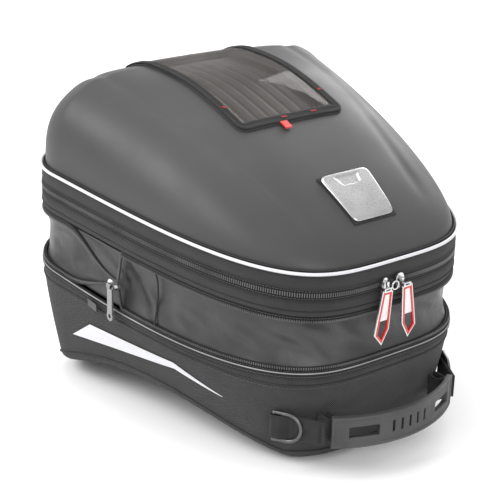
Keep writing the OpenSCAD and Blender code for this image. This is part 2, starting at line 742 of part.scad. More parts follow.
// Latch: its tongue reaches past the bore's wall, and the strap draws it back
module release_slider() {
    color("#b02a25")
        translate([0, lock_y - lock_bore_r, lock_low + bore_wall + 0.5]) {
            translate([-slot_w / 2 + 0.3, -lock_outer_r + lock_bore_r - 6, 0])
                cube([slot_w - 0.6, lock_outer_r - lock_bore_r + 10, latch_thick]);
            translate([-slot_w / 2 - 3, -lock_outer_r + lock_bore_r - 9.5, -1])
                cube([slot_w + 6, 6, latch_thick + 1.2]);
        }
}
module release_strap() {
    color("#232426")
        translate([0, lock_y - lock_outer_r - 9.8, lock_low + bore_wall + 0.2])
            translate([-8, -26, 0]) cube([16, 26, 1.8]);
}

// ---- assembly ----
base_shell();
base_floor();
base_lining();
floor_board();
lock_ring();
lock_backing_plate();
lock_screws();
release_slider();
release_strap();
reflective_flash_left();
reflective_flash_right();
base_binding();
lower_expansion_chain();
expansion_gusset();
upper_expansion_chain();
expansion_zip_garage();
expansion_slider();
expansion_pull_tab();
collar_band();
collar_lining();
collar_hoop();
main_zip_lower_chain();
main_slider_left();
main_slider_right();
slider_lock_ring();
pull_frame_left();
pull_frame_right();
pull_inlay_left();
pull_inlay_right();
main_zip_upper_chain();
lid_band();
lid_piping();
lid_shell();
lid_lining();
lid_hinge_fabric();
pocket_back_pad();
pocket_rim_wall();
pocket_far_wall();
pocket_cover_frame();
pocket_window();
pocket_pull_loop();
badge_gasket();
badge_plate();
handle_strap();
handle_anchor_left();
handle_anchor_right();
d_ring_strap_left();
d_ring_strap_right();
d_ring_left();
d_ring_right();
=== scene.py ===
"""Looks of the expandable tank bag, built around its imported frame."""
import math

import bmesh
import bpy
import numpy as np
from mathutils import Euler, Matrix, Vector, noise


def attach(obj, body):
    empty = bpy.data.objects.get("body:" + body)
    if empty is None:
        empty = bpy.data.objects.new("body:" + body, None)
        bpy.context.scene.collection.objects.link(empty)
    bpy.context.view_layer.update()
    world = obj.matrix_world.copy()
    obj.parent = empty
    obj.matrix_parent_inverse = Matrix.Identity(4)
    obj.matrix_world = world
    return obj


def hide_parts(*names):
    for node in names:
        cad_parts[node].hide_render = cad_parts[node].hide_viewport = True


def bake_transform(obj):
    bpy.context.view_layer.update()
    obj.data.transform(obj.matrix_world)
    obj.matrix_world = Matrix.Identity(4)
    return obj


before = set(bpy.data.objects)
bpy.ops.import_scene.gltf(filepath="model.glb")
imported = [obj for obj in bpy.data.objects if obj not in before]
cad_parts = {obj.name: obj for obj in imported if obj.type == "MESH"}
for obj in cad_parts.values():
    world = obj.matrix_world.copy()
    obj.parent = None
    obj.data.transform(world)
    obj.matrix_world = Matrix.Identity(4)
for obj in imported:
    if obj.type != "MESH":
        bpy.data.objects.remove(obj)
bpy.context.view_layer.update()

MM = 0.001
UP = np.array([0, 0, 1.0])

# ---- driving dimensions of the frame, in millimetres ----
HALF_LEN = 166.0
MID_Y = 92.0
NEAR_LEN = HALF_LEN + MID_Y
FAR_LEN = HALF_LEN - MID_Y
WIDTH_NEAR = 121.0
WIDTH_FAR = 162.0
SQUARE_NEAR = 3.9
SQUARE_FAR = 2.2
LEVEL_LOWER = 77.0
LEVEL_UPPER = 130.0
LEVEL_MAIN = 149.0
LEVEL_PIPING = 167.0
SLOPE = 0.1
LOWER_DIP = 8.0
BASE_TAPER = 12.0
FOOT_RADIUS = 14.0
FLOOR_INSET = BASE_TAPER + FOOT_RADIUS
FEET_LEVEL = -20.0
ARCH_RISE = 31.0
ARCH_HALF = 135.0
PAD_HEIGHT = 6.3
BASE_WALL = 4.0
BASE_TOP_GAP = 5.0
LID_SINK = 3.0
LID_RISE = 85.5
LID_SLOPE = 0.043
LID_BULGE = -6.8
ROUND_NEAR = 1.73
ROUND_SIDE = 3.4
ROUND_FAR = 2.13
CHANNEL_DEPTH = 5.0
CHANNEL_HALF = 77.7
LID_WALL = 3.5
POCKET_HALF = 56.5
POCKET_NEAR = -38.0
POCKET_FAR = 133.0
POCKET_CORNER = 9.0
NEAR_LIFT = 3.0
FAR_LIFT = 3.5
TRAY_DEPTH = 6.0
COVER_THICK = 1.4
COVER_RIM = 8.0
RING_N = 260
HANDLE_SPAN = 134.0
HANDLE_BULGE = 21.0
HANDLE_HEIGHT = 27.0
HANDLE_THICK = 5.0
HANDLE_Y = -HALF_LEN - 9
HANDLE_Z = 20.0
HANDLE_R = ((HANDLE_SPAN / 2) ** 2 + HANDLE_BULGE ** 2) / (2 * HANDLE_BULGE)
HANDLE_CENTRE_Y = HANDLE_Y - HANDLE_BULGE + HANDLE_R
HANDLE_ANGLE = math.asin(HANDLE_SPAN / 2 / HANDLE_R)
RING_BAR_X = 94.6
RING_BAR_Y = -136.6
RING_TURN = 60.0
RING_OUTER = 54.0
RELEASE_Z = 0.6
BADGE_FAR = -99.0
BADGE_NEAR = -140.0
ZIP_MEETING_X = -6.0
PULL_FACE_Y = -HALF_LEN - 8.4
PULL_PIVOT_Z = LEVEL_MAIN - SLOPE * HALF_LEN - 0.5


def put(name, data):
    """A new object in the scene."""
    made = bpy.data.objects.new(name, data)
    bpy.context.scene.collection.objects.link(made)
    return made


# ---- camera, fitted to the photo's outline and seams ----
CAMERA_TURNS = (-39.44, 21.52, 1.77)
CAMERA_DISTANCE = 1321.4
CAMERA_LENS = 107.8
CAMERA_SENSOR = 36
CAMERA_TARGET = (0, 11.19, 100.93)
CAMERA_SHIFT = (-0.00576, -0.00194)


def place_camera():
    azimuth, elevation, roll = (math.radians(turn) for turn in CAMERA_TURNS)
    target = Vector(CAMERA_TARGET) * MM
    back = Vector((math.sin(azimuth) * math.cos(elevation),
                   -math.cos(azimuth) * math.cos(elevation), math.sin(elevation)))
    data = bpy.data.cameras.new("camera")
    camera = put("camera", data)
    camera.location = target + back * CAMERA_DISTANCE * MM
    turn = (-back).to_track_quat("-Z", "Y").to_euler()
    camera.rotation_euler = (turn.to_matrix() @ Euler((0, 0, roll)).to_matrix()).to_euler()
    data.lens = CAMERA_LENS
    data.sensor_width = CAMERA_SENSOR
    data.shift_x, data.shift_y = CAMERA_SHIFT
    data.clip_start = 0.05
    data.clip_end = 20
    bpy.context.scene.camera = camera


place_camera()


# ---- outline and heights, as in the frame ----
def mix(a, b, t):
    return a + (b - a) * t


def smooth(t):
    t = np.clip(t, 0, 1)
    return t * t * (3 - 2 * t)


def half_width(y):
    return mix(WIDTH_NEAR, WIDTH_FAR, (y + HALF_LEN) / (2 * HALF_LEN))


def plan(angles, inset=0.0, g=1.0):
    """Points of the plan outline at the given angles, in radians."""
    s, c = np.sin(angles), np.cos(angles)
    far = s > 0
    power = 2 / np.where(far, SQUARE_FAR, SQUARE_NEAR)
    length = np.where(far, FAR_LEN, NEAR_LEN) - inset
    y = MID_Y + length * g * np.sign(s) * np.abs(s) ** power
    x = (half_width(y) - inset) * g * np.sign(c) * np.abs(c) ** power
    return x, y


def even_angles(n):
    """Angles that space n points evenly along the outline."""
    fine = np.linspace(0, 2 * math.pi, 40001)
    x, y = plan(fine)
    run = np.concatenate([[0], np.cumsum(np.hypot(np.diff(x), np.diff(y)))])
    return np.interp(np.arange(n) / n * run[-1], run, fine), run[-1]


ANGLES, PERIMETER = even_angles(RING_N)


def seam(level, dip=0.0):
    return lambda y, dz=0.0: level + SLOPE * y + dip * (y / HALF_LEN) ** 2 + dz


z_lower = seam(LEVEL_LOWER, LOWER_DIP)
z_upper = seam(LEVEL_UPPER)
z_main = seam(LEVEL_MAIN)
z_piping = seam(LEVEL_PIPING)


def z_foot(y):
    return FEET_LEVEL + np.maximum(0, ARCH_RISE * (1 - (y / ARCH_HALF) ** 2))


def gauge(x, y, inset):
    far = y > MID_Y
    power = np.where(far, SQUARE_FAR, SQUARE_NEAR)
    u = np.abs(x) / (half_width(y) - inset)
    v = np.abs(y - MID_Y) / (np.where(far, FAR_LEN, NEAR_LEN) - inset)
    return (u ** power + v ** power) ** (1 / power)


def lid_z(x, y, t=0.0):
    """Height of the lid's skin over (x, y), thinned by t."""
    x, y = np.asarray(x, float), np.asarray(y, float)
    g = np.minimum(1, gauge(x, y, LID_SINK + t))
    v = np.abs(y - MID_Y) / np.where(y > MID_Y, FAR_LEN, NEAR_LEN)
    w = np.clip(v / np.maximum(g, 0.001), 0, 1) ** 0.644
    q = mix(ROUND_SIDE + 0.005 * y, np.where(y > MID_Y, ROUND_FAR, ROUND_NEAR), w)
    rise = LID_RISE + LID_SLOPE * y + LID_BULGE * (y / 100) ** 2 - t
    channel = (CHANNEL_DEPTH * np.exp(-(np.abs(x) / CHANNEL_HALF) ** 4)
               * smooth((y - 26) / 90) * smooth((1 - g) / 0.25))
    return z_piping(y) + rise * np.maximum(0, 1 - g ** q) ** (1 / q) - channel


def cover_lift(y):
    return mix(NEAR_LIFT, FAR_LIFT, np.clip((y - POCKET_NEAR) / (POCKET_FAR - POCKET_NEAR), 0, 1))


def ring(inset, height, angles=None):
    """One ring of points round the outline at an inset and a height, a number or a function of y."""
    x, y = plan(ANGLES if angles is None else angles, inset)
    z = height(y) if callable(height) else np.full_like(y, height)
    return np.stack([x, y, z], 1)


def seam_ring(inset, line, dz):
    """A ring along a seam, dz above it."""
    return ring(inset, lambda y: line(y, dz))


# ---- mesh helpers ----
def make(name, shape, material, body, nodes=()):
    """A piece that rides on a body; shape holds points in millimetres, faces and maybe weave places."""
    points, faces, *weave = shape
    mesh = bpy.data.meshes.new(name)
    mesh.from_pydata((np.asarray(points, float) * MM).tolist(), [], faces)
    mesh.validate()
    mesh.polygons.foreach_set("use_smooth", [True] * len(mesh.polygons))
    mesh.materials.append(material)
    piece = put(name, mesh)
    for uv in weave:
        layer = mesh.uv_layers.new(name="Weave")
        for polygon in mesh.polygons:
            spots = [uv[v] for v in polygon.vertices]
            top = max(s[0] for s in spots)
            for loop, spot in zip(polygon.loop_indices, spots):
                wrapped = spot[0] + (uv.span if top - spot[0] > uv.span / 2 else 0)
                layer.data[loop].uv = (wrapped * MM * 10, spot[1] * MM * 10)
    if body:
        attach(piece, body)
    if nodes:
        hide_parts(*nodes)
    return piece


class Spots(list):
    """Weave coordinates of a ring mesh, which wrap after span millimetres."""
    span = 1e9


def rings_mesh(rings, closed_section=False, pole_a=None, pole_b=None, open_rings=False):
    """Points, faces and weave coordinates of a stack of rings."""
    rings = np.asarray(rings, float)
    m, n, _ = rings.shape
    points = rings.reshape(-1, 3).tolist()
    faces = []
    for r in range(m if closed_section else m - 1):
        a, b = r * n, ((r + 1) % m) * n
        for k in range(n - 1 if open_rings else n):
            j = (k + 1) % n
            faces.append((a + k, a + j, b + j, b + k))
    across = np.concatenate([[0], np.cumsum(np.linalg.norm(np.diff(rings, axis=0), axis=2).mean(1))])
    middle = rings[m // 2]
    run = np.concatenate([[0], np.cumsum(np.linalg.norm(np.diff(middle, axis=0), axis=1))])
    uv = Spots((run[k], across[r]) for r in range(m) for k in range(n))
    uv.span = run[-1] + np.linalg.norm(middle[-1] - middle[0])
    for pole, base, flip in ((pole_a, 0, True), (pole_b, (m - 1) * n, False)):
        if pole is None:
            continue
        points.append(list(pole))
        uv.append((0.0, across[-1] if base else 0.0))
        tip = len(points) - 1
        for k in range(n):
            j = (k + 1) % n
            faces.append((base + j, base + k, tip) if flip else (base + k, base + j, tip))
    return points, faces, uv


def section_mesh(rings):
    """A closed band whose cross-section is the given rings, anticlockwise."""
    return rings_mesh(rings, closed_section=True)


def tube(path, radius, closed=True, sides=8):
    """A round tube along a path."""
    path = np.asarray(path, float)
    n = len(path)
    ahead = np.roll(path, -1, 0) - np.roll(path, 1, 0)
    if not closed:
        ahead[0] = path[1] - path[0]
        ahead[-1] = path[-1] - path[-2]
    ahead /= np.linalg.norm(ahead, axis=1)[:, None]
    side = np.cross(ahead, UP)
    side /= np.maximum(np.linalg.norm(side, axis=1), 1e-9)[:, None]
    top = np.cross(side, ahead)
    rings = []
    for k in range(sides):
        a = 2 * math.pi * k / sides
        rings.append(path + radius * (math.cos(a) * side + math.sin(a) * top))
    rings = np.asarray(rings)
    points = rings.reshape(-1, 3).tolist()
    faces = []
    for k in range(sides):
        j = (k + 1) % sides
        for i in range(n if closed else n - 1):
            m = (i + 1) % n
            faces.append((k * n + i, k * n + m, j * n + m, j * n + i))
    if not closed:
        faces.append([k * n for k in range(sides)])
        faces.append([k * n + n - 1 for k in reversed(range(sides))])
    return points, faces


def join(parts):
    """One point and face list out of several."""
    points, faces = [], []
    for p, f in parts:
        base = len(points)
        points.extend(np.asarray(p, float).tolist())
        faces.extend([[v + base for v in face] for face in f])
    return points, faces


def capsule(centre, along, out, length, width, height):
    """A small six-sided bar, pinched at both ends."""
    along = along / np.linalg.norm(along)
    out = out - along * np.dot(out, along)
    out = out / np.linalg.norm(out)
    side = np.cross(along, out)
    rows = [(-0.5, 0.35), (-0.36, 0.9), (0.36, 0.9), (0.5, 0.35)]
    points = []
    for at, size in rows:
        for k in range(6):
            a = 2 * math.pi * k / 6
            points.append(centre + along * at * length + side * math.cos(a) * width / 2 * size
                          + out * math.sin(a) * height / 2 * size)
    faces = []
    for r in range(3):
        for k in range(6):
            j = (k + 1) % 6
            faces.append([r * 6 + k, r * 6 + j, (r + 1) * 6 + j, (r + 1) * 6 + k])
    faces.append([5, 4, 3, 2, 1, 0])
    faces.append([18, 19, 20, 21, 22, 23])
    return points, faces


def resample(path, pitch, closed=True):
    """Points every pitch millimetres along a path, with their directions."""
    path = np.asarray(path, float)
    if closed:
        path = np.vstack([path, path[:1]])
    steps = np.linalg.norm(np.diff(path, axis=0), axis=1)
    run = np.concatenate([[0], np.cumsum(steps)])
    count = max(2, int(run[-1] / pitch))
    at = (np.arange(count) + 0.5) / count * run[-1]
    spots = np.stack([np.interp(at, run, path[:, k]) for k in range(3)], 1)
    ahead = np.stack([np.interp(at + 0.4, run, path[:, k]) for k in range(3)], 1) - spots
    short = np.linalg.norm(ahead, axis=1) < 1e-6
    ahead[short] = spots[short] - np.roll(spots, 1, 0)[short]
    return spots, ahead / np.linalg.norm(ahead, axis=1)[:, None]


def outward(spots):
    """Level directions that point away from the middle of the outline."""
    inner_x, inner_y = spots[:, 0] * 0.35, mix(MID_Y, spots[:, 1], 0.35)
    out = np.stack([spots[:, 0] - inner_x, spots[:, 1] - inner_y, np.zeros(len(spots))], 1)
    return out / np.linalg.norm(out, axis=1)[:, None]


def stitches(path, closed=True, pitch=3.4, length=2.5, size=0.55, outs=None):
    spots, ahead = resample(path, pitch, closed)
    outs = outward(spots) if outs is None else np.broadcast_to(outs, spots.shape)
    return join([capsule(s, a, o, length, size, size) for s, a, o in zip(spots, ahead, outs)])


def teeth(path, pitch=1.9, reach=2.3):
    """Coil teeth: short bars across the zip's edge."""
    spots, ahead = resample(path, pitch)
    outs = outward(spots)
    up = np.cross(outs, ahead)
    up *= np.sign(up[:, 2:3])
    return join([capsule(s, u, o, reach, pitch * 0.66, 1.5) for s, u, o in zip(spots, up, outs)])


# ---- materials ----
class Shader:
    """A principled material whose detail comes from nodes."""

    def __init__(self, name, rough, metallic=0.0, spec=0.5, sheen=0.0, coat=0.0):
        self.material = bpy.data.materials.new(name)
        self.material.use_nodes = True
        self.tree = self.material.node_tree
        self.shader = self.tree.nodes["Principled BSDF"]
        looks = {"Roughness": rough, "Metallic": metallic, "Specular IOR Level": spec,
                 "Sheen Weight": sheen, "Sheen Roughness": 0.4,
                 "Coat Weight": coat, "Coat Roughness": 0.1}
        for key, value in looks.items():
            self.shader.inputs[key].default_value = value
        self.rough = rough
        self.coords = self.tree.nodes.new("ShaderNodeTexCoord").outputs["Object"]

    def node(self, kind, **sockets):
        made = self.tree.nodes.new(kind)
        for key, value in sockets.items():
            made.inputs[key.replace("_", " ")].default_value = value
        return made

    def link(self, a, b):
        self.tree.links.new(a, b)

    def noise(self, scale, detail=4.0, rough=0.55, stretch=(1, 1, 1)):
        mapping = self.node("ShaderNodeMapping", Scale=stretch)
        self.link(self.coords, mapping.inputs["Vector"])
        made = self.node("ShaderNodeTexNoise", Scale=scale, Detail=detail, Roughness=rough)
        self.link(mapping.outputs["Vector"], made.inputs["Vector"])
        return made.outputs["Fac"]

    def math(self, operation, a, b):
        made = self.tree.nodes.new("ShaderNodeMath")
        made.operation = operation
        for socket, value in zip(made.inputs, (a, b)):
            if isinstance(value, (int, float)):
                socket.default_value = value
            else:
                self.link(value, socket)
        return made.outputs["Value"]

    def ramp(self, value, low, high, start=0.3, stop=0.7):
        made = self.tree.nodes.new("ShaderNodeValToRGB")
        for element, at, tone in zip(made.color_ramp.elements, (start, stop), (low, high)):
            element.position = at
            element.color = (*(tone if isinstance(tone, tuple) else grey(tone)), 1)
        self.link(value, made.inputs["Fac"])
        return made.outputs["Color"]

    def colour(self, output):
        self.link(output, self.shader.inputs["Base Color"])

    def roughness(self, value, spread):
        made = self.node("ShaderNodeMapRange", From_Min=0.3, From_Max=0.7,
                         To_Min=self.rough - spread, To_Max=self.rough + spread)
        self.link(value, made.inputs["Value"])
        self.link(made.outputs["Result"], self.shader.inputs["Roughness"])

    def bump(self, height, strength, distance, before=None):
        made = self.node("ShaderNodeBump", Strength=strength, Distance=distance)
        self.link(height, made.inputs["Height"])
        if before is not None:
            self.link(before, made.inputs["Normal"])
        self.link(made.outputs["Normal"], self.shader.inputs["Normal"])
        return made.outputs["Normal"]

    def weave(self, pitch, twill=True):
        """Crossing threads in the piece's own weave coordinates; pitch in millimetres."""
        source = self.tree.nodes.new("ShaderNodeUVMap")
        source.uv_map = "Weave"
        parts = self.tree.nodes.new("ShaderNodeSeparateXYZ")
        self.link(source.outputs["UV"], parts.inputs["Vector"])
        turns = 2 * math.pi / (pitch * MM * 10)
        u = self.math("MULTIPLY", parts.outputs["X"], turns)
        v = self.math("MULTIPLY", parts.outputs["Y"], turns)
        if twill:
            diagonal = self.math("SINE", self.math("ADD", u, v), 0)
            cross = self.math("SINE", self.math("MULTIPLY", self.math("SUBTRACT", u, v), 2.0), 0)
            return self.math("ADD", diagonal, self.math("MULTIPLY", cross, 0.45))
        return self.math("MULTIPLY", self.math("SINE", u, 0), self.math("SINE", v, 0))


def fabric(name, dark, light, pitch, rough=0.8, sheen=0.08, depth=0.0004, twill=True, spec=0.3):
    made = Shader(name, rough, sheen=sheen, spec=spec)
    threads = made.weave(pitch, twill)
    patchy = made.noise(60, 5)
    level = made.math("ADD", made.math("MULTIPLY", threads, 0.22), patchy)
    made.colour(made.ramp(level, dark, light, 0.2, 0.8))
    made.roughness(patchy, 0.08)
    first = made.bump(made.noise(900, 3), 0.25, 0.0002)
    made.bump(threads, 0.7, depth, first)
    return made.material


def plastic(name, dark, light, rough, grain=700, depth=0.00012, spec=0.5, coat=0.0, metallic=0.0):
    made = Shader(name, rough, metallic, spec, coat=coat)
    patchy = made.noise(28, 4)
    made.colour(made.ramp(patchy, dark, light))
    made.roughness(made.noise(90, 5), 0.06)
    made.bump(made.noise(grain, 3), 0.35, depth)
    return made.material


def metal(name, dark, light, rough, stretch=(1, 1, 1), grain=600):
    made = Shader(name, rough, 1.0)
    made.colour(made.ramp(made.noise(50, 4), dark, light))
    made.roughness(made.noise(grain, 4, stretch=stretch), 0.07)
    made.bump(made.noise(grain, 4, stretch=stretch), 0.12, 0.00005)
    return made.material


def grey(value, tint=0.0):
    return (value, value, value * (1 + tint))


BASE_CLOTH = fabric("base_cloth", 0.024, 0.056, 2.4, depth=0.0006)
BAND_CLOTH = fabric("band_cloth", 0.022, 0.046, 1.3, depth=0.0003)
TAPE_CLOTH = fabric("tape_cloth", 0.006, 0.014, 1.0, depth=0.0002)
BINDING_CLOTH = fabric("binding_cloth", 0.01, 0.022, 1.1, depth=0.0003)
LINING_CLOTH = fabric("lining_cloth", 0.09, 0.14, 1.4, depth=0.0002, twill=False)
WEBBING = fabric("webbing_cloth", 0.012, 0.034, 2.2, depth=0.0008, twill=False)
TEETH = plastic("zip_teeth", 0.05, 0.12, 0.34)
SOFT_PLASTIC = plastic("board_plastic", 0.02, 0.035, 0.5)
LOCK_PLASTIC = plastic("lock_plastic", 0.014, 0.026, 0.42)
RUBBER = plastic("handle_rubber", 0.035, 0.055, 0.55, grain=500, depth=0.0002)
RED = plastic("red_enamel", (0.50, 0.018, 0.012), (0.62, 0.03, 0.022), 0.3, coat=0.6)
EDGE_CORD = plastic("edge_cord", 0.16, 0.3, 0.5)
RED_THREAD = plastic("red_thread", (0.32, 0.012, 0.012), (0.5, 0.03, 0.03), 0.6)
DARK_THREAD = plastic("dark_thread", 0.006, 0.014, 0.65)
GREY_THREAD = plastic("grey_thread", 0.06, 0.12, 0.6)
PAD = plastic("pocket_pad", (0.012, 0.009, 0.008), (0.026, 0.02, 0.017), 0.4, coat=0.1)
GASKET = plastic("gasket_rubber", 0.008, 0.016, 0.7)
CHROME = metal("chrome", 0.55, 0.78, 0.16)
STEEL = metal("steel", 0.42, 0.6, 0.3)
SILVER = metal("badge_silver", 0.42, 0.52, 0.3, stretch=(1, 8, 1), grain=300)
PULL_SILVER = metal("pull_silver", 0.6, 0.75, 0.3)
TAB_METAL = metal("tab_metal", 0.24, 0.34, 0.38)
RING_METAL = metal("ring_metal", 0.1, 0.17, 0.32)


def lid_material():
    made = Shader("lid_soft_skin", 0.46, spec=0.34, sheen=0.04)
    broad = made.noise(7, 3)
    made.colour(made.ramp(broad, grey(0.04, 0.03), grey(0.052, 0.03), 0.25, 0.75))
    made.roughness(made.noise(24, 4), 0.05)
    first = made.bump(made.noise(12, 2), 0.18, 0.0015)
    made.bump(made.noise(1500, 2), 0.2, 0.00008, first)
    return made.material


def gusset_material():
    made = Shader("gusset_nylon", 0.34, spec=0.6, sheen=0.05)
    threads = made.weave(0.9, False)
    made.colour(made.ramp(made.noise(30, 5), grey(0.014, 0.05), grey(0.03, 0.05)))
    made.roughness(made.noise(40, 5), 0.07)
    first = made.bump(made.noise(55, 6, stretch=(1, 1, 0.6)), 0.55, 0.0016)
    made.bump(threads, 0.25, 0.00012, first)
    return made.material


def reflective_material():
    made = Shader("reflective_film", 0.34, spec=0.6)
    glitter = made.noise(2400, 2)
    made.colour(made.ramp(glitter, grey(0.5, 0.04), grey(0.72, 0.04)))
    made.roughness(made.noise(300, 3), 0.08)
    made.bump(glitter, 0.2, 0.00006)
    return made.material


def window_material():
    made = Shader("window_film", 0.07, spec=0.6)
    made.shader.inputs["Alpha"].default_value = 0.22
    made.colour(made.ramp(made.noise(20, 3), (0.05, 0.04, 0.035), (0.09, 0.075, 0.065)))
    made.roughness(made.noise(18, 4), 0.03)
    made.bump(made.noise(22, 3), 0.35, 0.0012)
    return made.material


LID_SKIN = lid_material()
NYLON = gusset_material()
REFLECTIVE = reflective_material()
WINDOW = window_material()


# Place of the expansion slider, and how far the chains run to it
SLIDER_Y = 12.0
SLIDER_Z = float(z_lower(SLIDER_Y)) + 23.5
V_REACH = 66.0


# ---- base ----
# Size, depth and seed of the waves in the base's cloth
BASE_WAVE = (70, 0.7, 3)


def wall_height(y, u):
    return mix(z_lower(y) - BASE_TOP_GAP, z_foot(y) + FOOT_RADIUS, u)


def wall_ring(u, t):
    return ring(BASE_TAPER * u ** 1.3 + t, lambda y: wall_height(y, u))


def foot_ring(angle, t):
    r = FOOT_RADIUS - t
    inset = BASE_TAPER + t + r * (1 - math.cos(angle))
    return ring(inset, lambda y: z_foot(y) + FOOT_RADIUS - r * math.sin(angle))


def floor_ring(g, t):
    x, y = plan(ANGLES, FLOOR_INSET, g)
    w = np.clip((gauge(x, y, FLOOR_INSET) - 0.64) / 0.36, 0, 1)
    return np.stack([x, y, mix(PAD_HEIGHT, z_foot(y), w * w) + t], 1)


def soften(points, size, amount, seed):
    """Pushes points gently in and out along the outline's normal, like hand-sewn cloth."""
    points = np.asarray(points, float)
    outs = outward(points)
    shift = np.array([noise.noise(Vector(p / size) + Vector((seed, 0, 0))) for p in points])
    return points + outs * (shift * amount)[:, None]


def build_base():
    walls = [wall_ring(u, 0) for u in np.linspace(0, 1, 14)]
    foot = [foot_ring(math.radians(a), 0) for a in (15, 30, 45, 60, 75, 90)]
    floor = [floor_ring(g, 0) for g in (0.94, 0.88, 0.8, 0.72, 0.6, 0.5, 0.3)]
    inner = [wall_ring(u, BASE_WALL) for u in (0, 0.3, 0.6, 0.9)]
    inner += [floor_ring(g, BASE_WALL) for g in (0.8, 0.5, 0.3)]
    rings = list(reversed(inner)) + walls + foot + floor
    low = (0, MID_Y, PAD_HEIGHT)
    high = (0, MID_Y, PAD_HEIGHT + BASE_WALL)
    points, faces, uv = rings_mesh(rings, pole_a=high, pole_b=low)
    skin = (soften(points, *BASE_WAVE), [f[::-1] for f in faces], uv)
    make("base_skin", skin, BASE_CLOTH, "base", ["base_shell", "base_floor"])
    points, faces = join([tube(soften(wall_ring(0.1, -0.25), *BASE_WAVE), 0.7),
                          tube(soften(foot_ring(math.radians(12), -0.2), *BASE_WAVE), 0.8)])
    make("base_seams", (points, faces), DARK_THREAD, "base")
    make("base_stitching", stitches(soften(wall_ring(0.14, -0.25), *BASE_WAVE), pitch=3.2, size=0.5),
         GREY_THREAD, "base")


def build_binding():
    """The folded tape over the base's top edge."""
    edge = ((3.6, -5), (1, -5.2), (-0.6, -4.6), (-1.1, -3), (-0.8, -1.5), (0.6, -0.8), (3.6, -1))
    rings = [seam_ring(inset, z_lower, dz) for inset, dz in edge]
    make("base_edge_tape", section_mesh(rings), BINDING_CLOTH, "base", ["base_binding"])
    make("base_edge_stitching", stitches(seam_ring(-1.15, z_lower, -3.8), pitch=2.9, length=2.1, size=0.45),
         GREY_THREAD, "base")
    make("base_edge_cord", tube(seam_ring(-0.9, z_lower, -0.9), 0.6), EDGE_CORD, "base")


def build_base_lining():
    start = BASE_WALL + 0.6
    lift = 2.6
    rings = [seam_ring(start, z_lower, -6)]
    rings += [wall_ring(u, start) for u in (0.12, 0.33, 0.5, 0.66, 0.85, 1)]
    rings += [foot_ring(math.radians(a), start) for a in (20, 40, 60, 80)]
    rings += [floor_ring(g, lift + start) for g in (0.95, 0.9, 0.8, 0.72, 0.64, 0.5, 0.3)]
    make("base_inner_cloth", rings_mesh(rings, pole_b=(0, MID_Y, PAD_HEIGHT + start + lift)),
         LINING_CLOTH, "base", ["base_lining", "floor_board"])


def billow(row, t):
    """How far the slack nylon swells out or tucks in at each point of a row."""
    out = np.zeros(len(row))
    for k, p in enumerate(row):
        q = Vector((p[0] * 0.014 + p[2] * 0.012, p[1] * 0.014, p[2] * 0.009))
        broad = noise.noise(q * 1.2 + Vector((4, 1, 7))) * 4.2
        ridge = 1 - abs(noise.noise(q * 2.6 + Vector((2, 8, 3)))) * 3.4
        out[k] = broad + ridge * 1.5 + noise.noise(q * 7) * 0.7 - 0.8
    run = (row[:, 1] - SLIDER_Y) + (0.5 - t) * 34
    side = (row[:, 0] < 0) & (row[:, 1] < SLIDER_Y)
    fold = np.exp(-((run + 16) / 6.0) ** 2) * -3.4 + np.exp(-((run + 29) / 9.0) ** 2) * 2.2
    return out + np.where(side, fold, 0)


def gusset_sag(t):
    return 2.6 + 4.2 * math.sin(math.pi * t)


def build_gusset():
    """Crumpled nylon between the two expansion chains."""
    n_rows = 26
    rings = []
    for r in range(n_rows + 1):
        t = r / n_rows
        rings.append(ring(gusset_sag(t), lambda y, t=t: mix(z_lower(y, 2), z_upper(y, -2), t)))
    rings = np.asarray(rings)
    for r, row in enumerate(rings):
        t = r / n_rows
        rings[r] = row + outward(row) * (math.sin(math.pi * t) ** 0.8 * billow(row, t))[:, None]
    piece = make("gusset_nylon_wall", rings_mesh(rings),
                 NYLON, None, ["expansion_gusset"])
    thicken(piece, 0.6)
    fold_with_collar(piece)
    seam_y = -31.0
    path = []
    for t in np.linspace(0.05, 0.95, 24):
        z = mix(z_lower(seam_y), z_upper(seam_y), t)
        sag = gusset_sag(t) - 1.7
        path.append([-(half_width(seam_y) * 0.997 - sag), seam_y + 1.5 * math.sin(5 * t), z])
    welt = make("gusset_seam", tube(path, 0.75, closed=False), DARK_THREAD, None)
    fold_with_collar(welt)


def fold_with_collar(piece):
    """Bakes a piece's placement into its mesh; the piece rides on no body."""
    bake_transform(piece)


def thicken(piece, thickness):
    """Gives an open sheet a real thickness, inwards."""
    solid = piece.modifiers.new("thickness", "SOLIDIFY")
    solid.thickness = thickness * MM
    solid.offset = -1
    apply_modifiers(piece)


def apply_modifiers(piece):
    bpy.context.view_layer.update()
    graph = bpy.context.evaluated_depsgraph_get()
    mesh = bpy.data.meshes.new_from_object(piece.evaluated_get(graph))
    piece.modifiers.clear()
    piece.data = mesh


# ---- zips ----
def left_of_slider(x, y):
    """1 at the expansion slider, falling to 0 where the two chains lie on their seams."""
    return np.where((x < 0) & (y >= SLIDER_Y) & (y < 150), 1 - smooth((y - SLIDER_Y) / V_REACH), 0)


def chain_ring(inset, base_line, offset, meet):
    """A ring on a seam that runs to the slider on its left side."""
    x, y = plan(ANGLES, inset)
    pull = left_of_slider(x, y)
    z = mix(base_line(y) + offset, SLIDER_Z + meet, pull)
    return np.stack([x, y, z], 1)


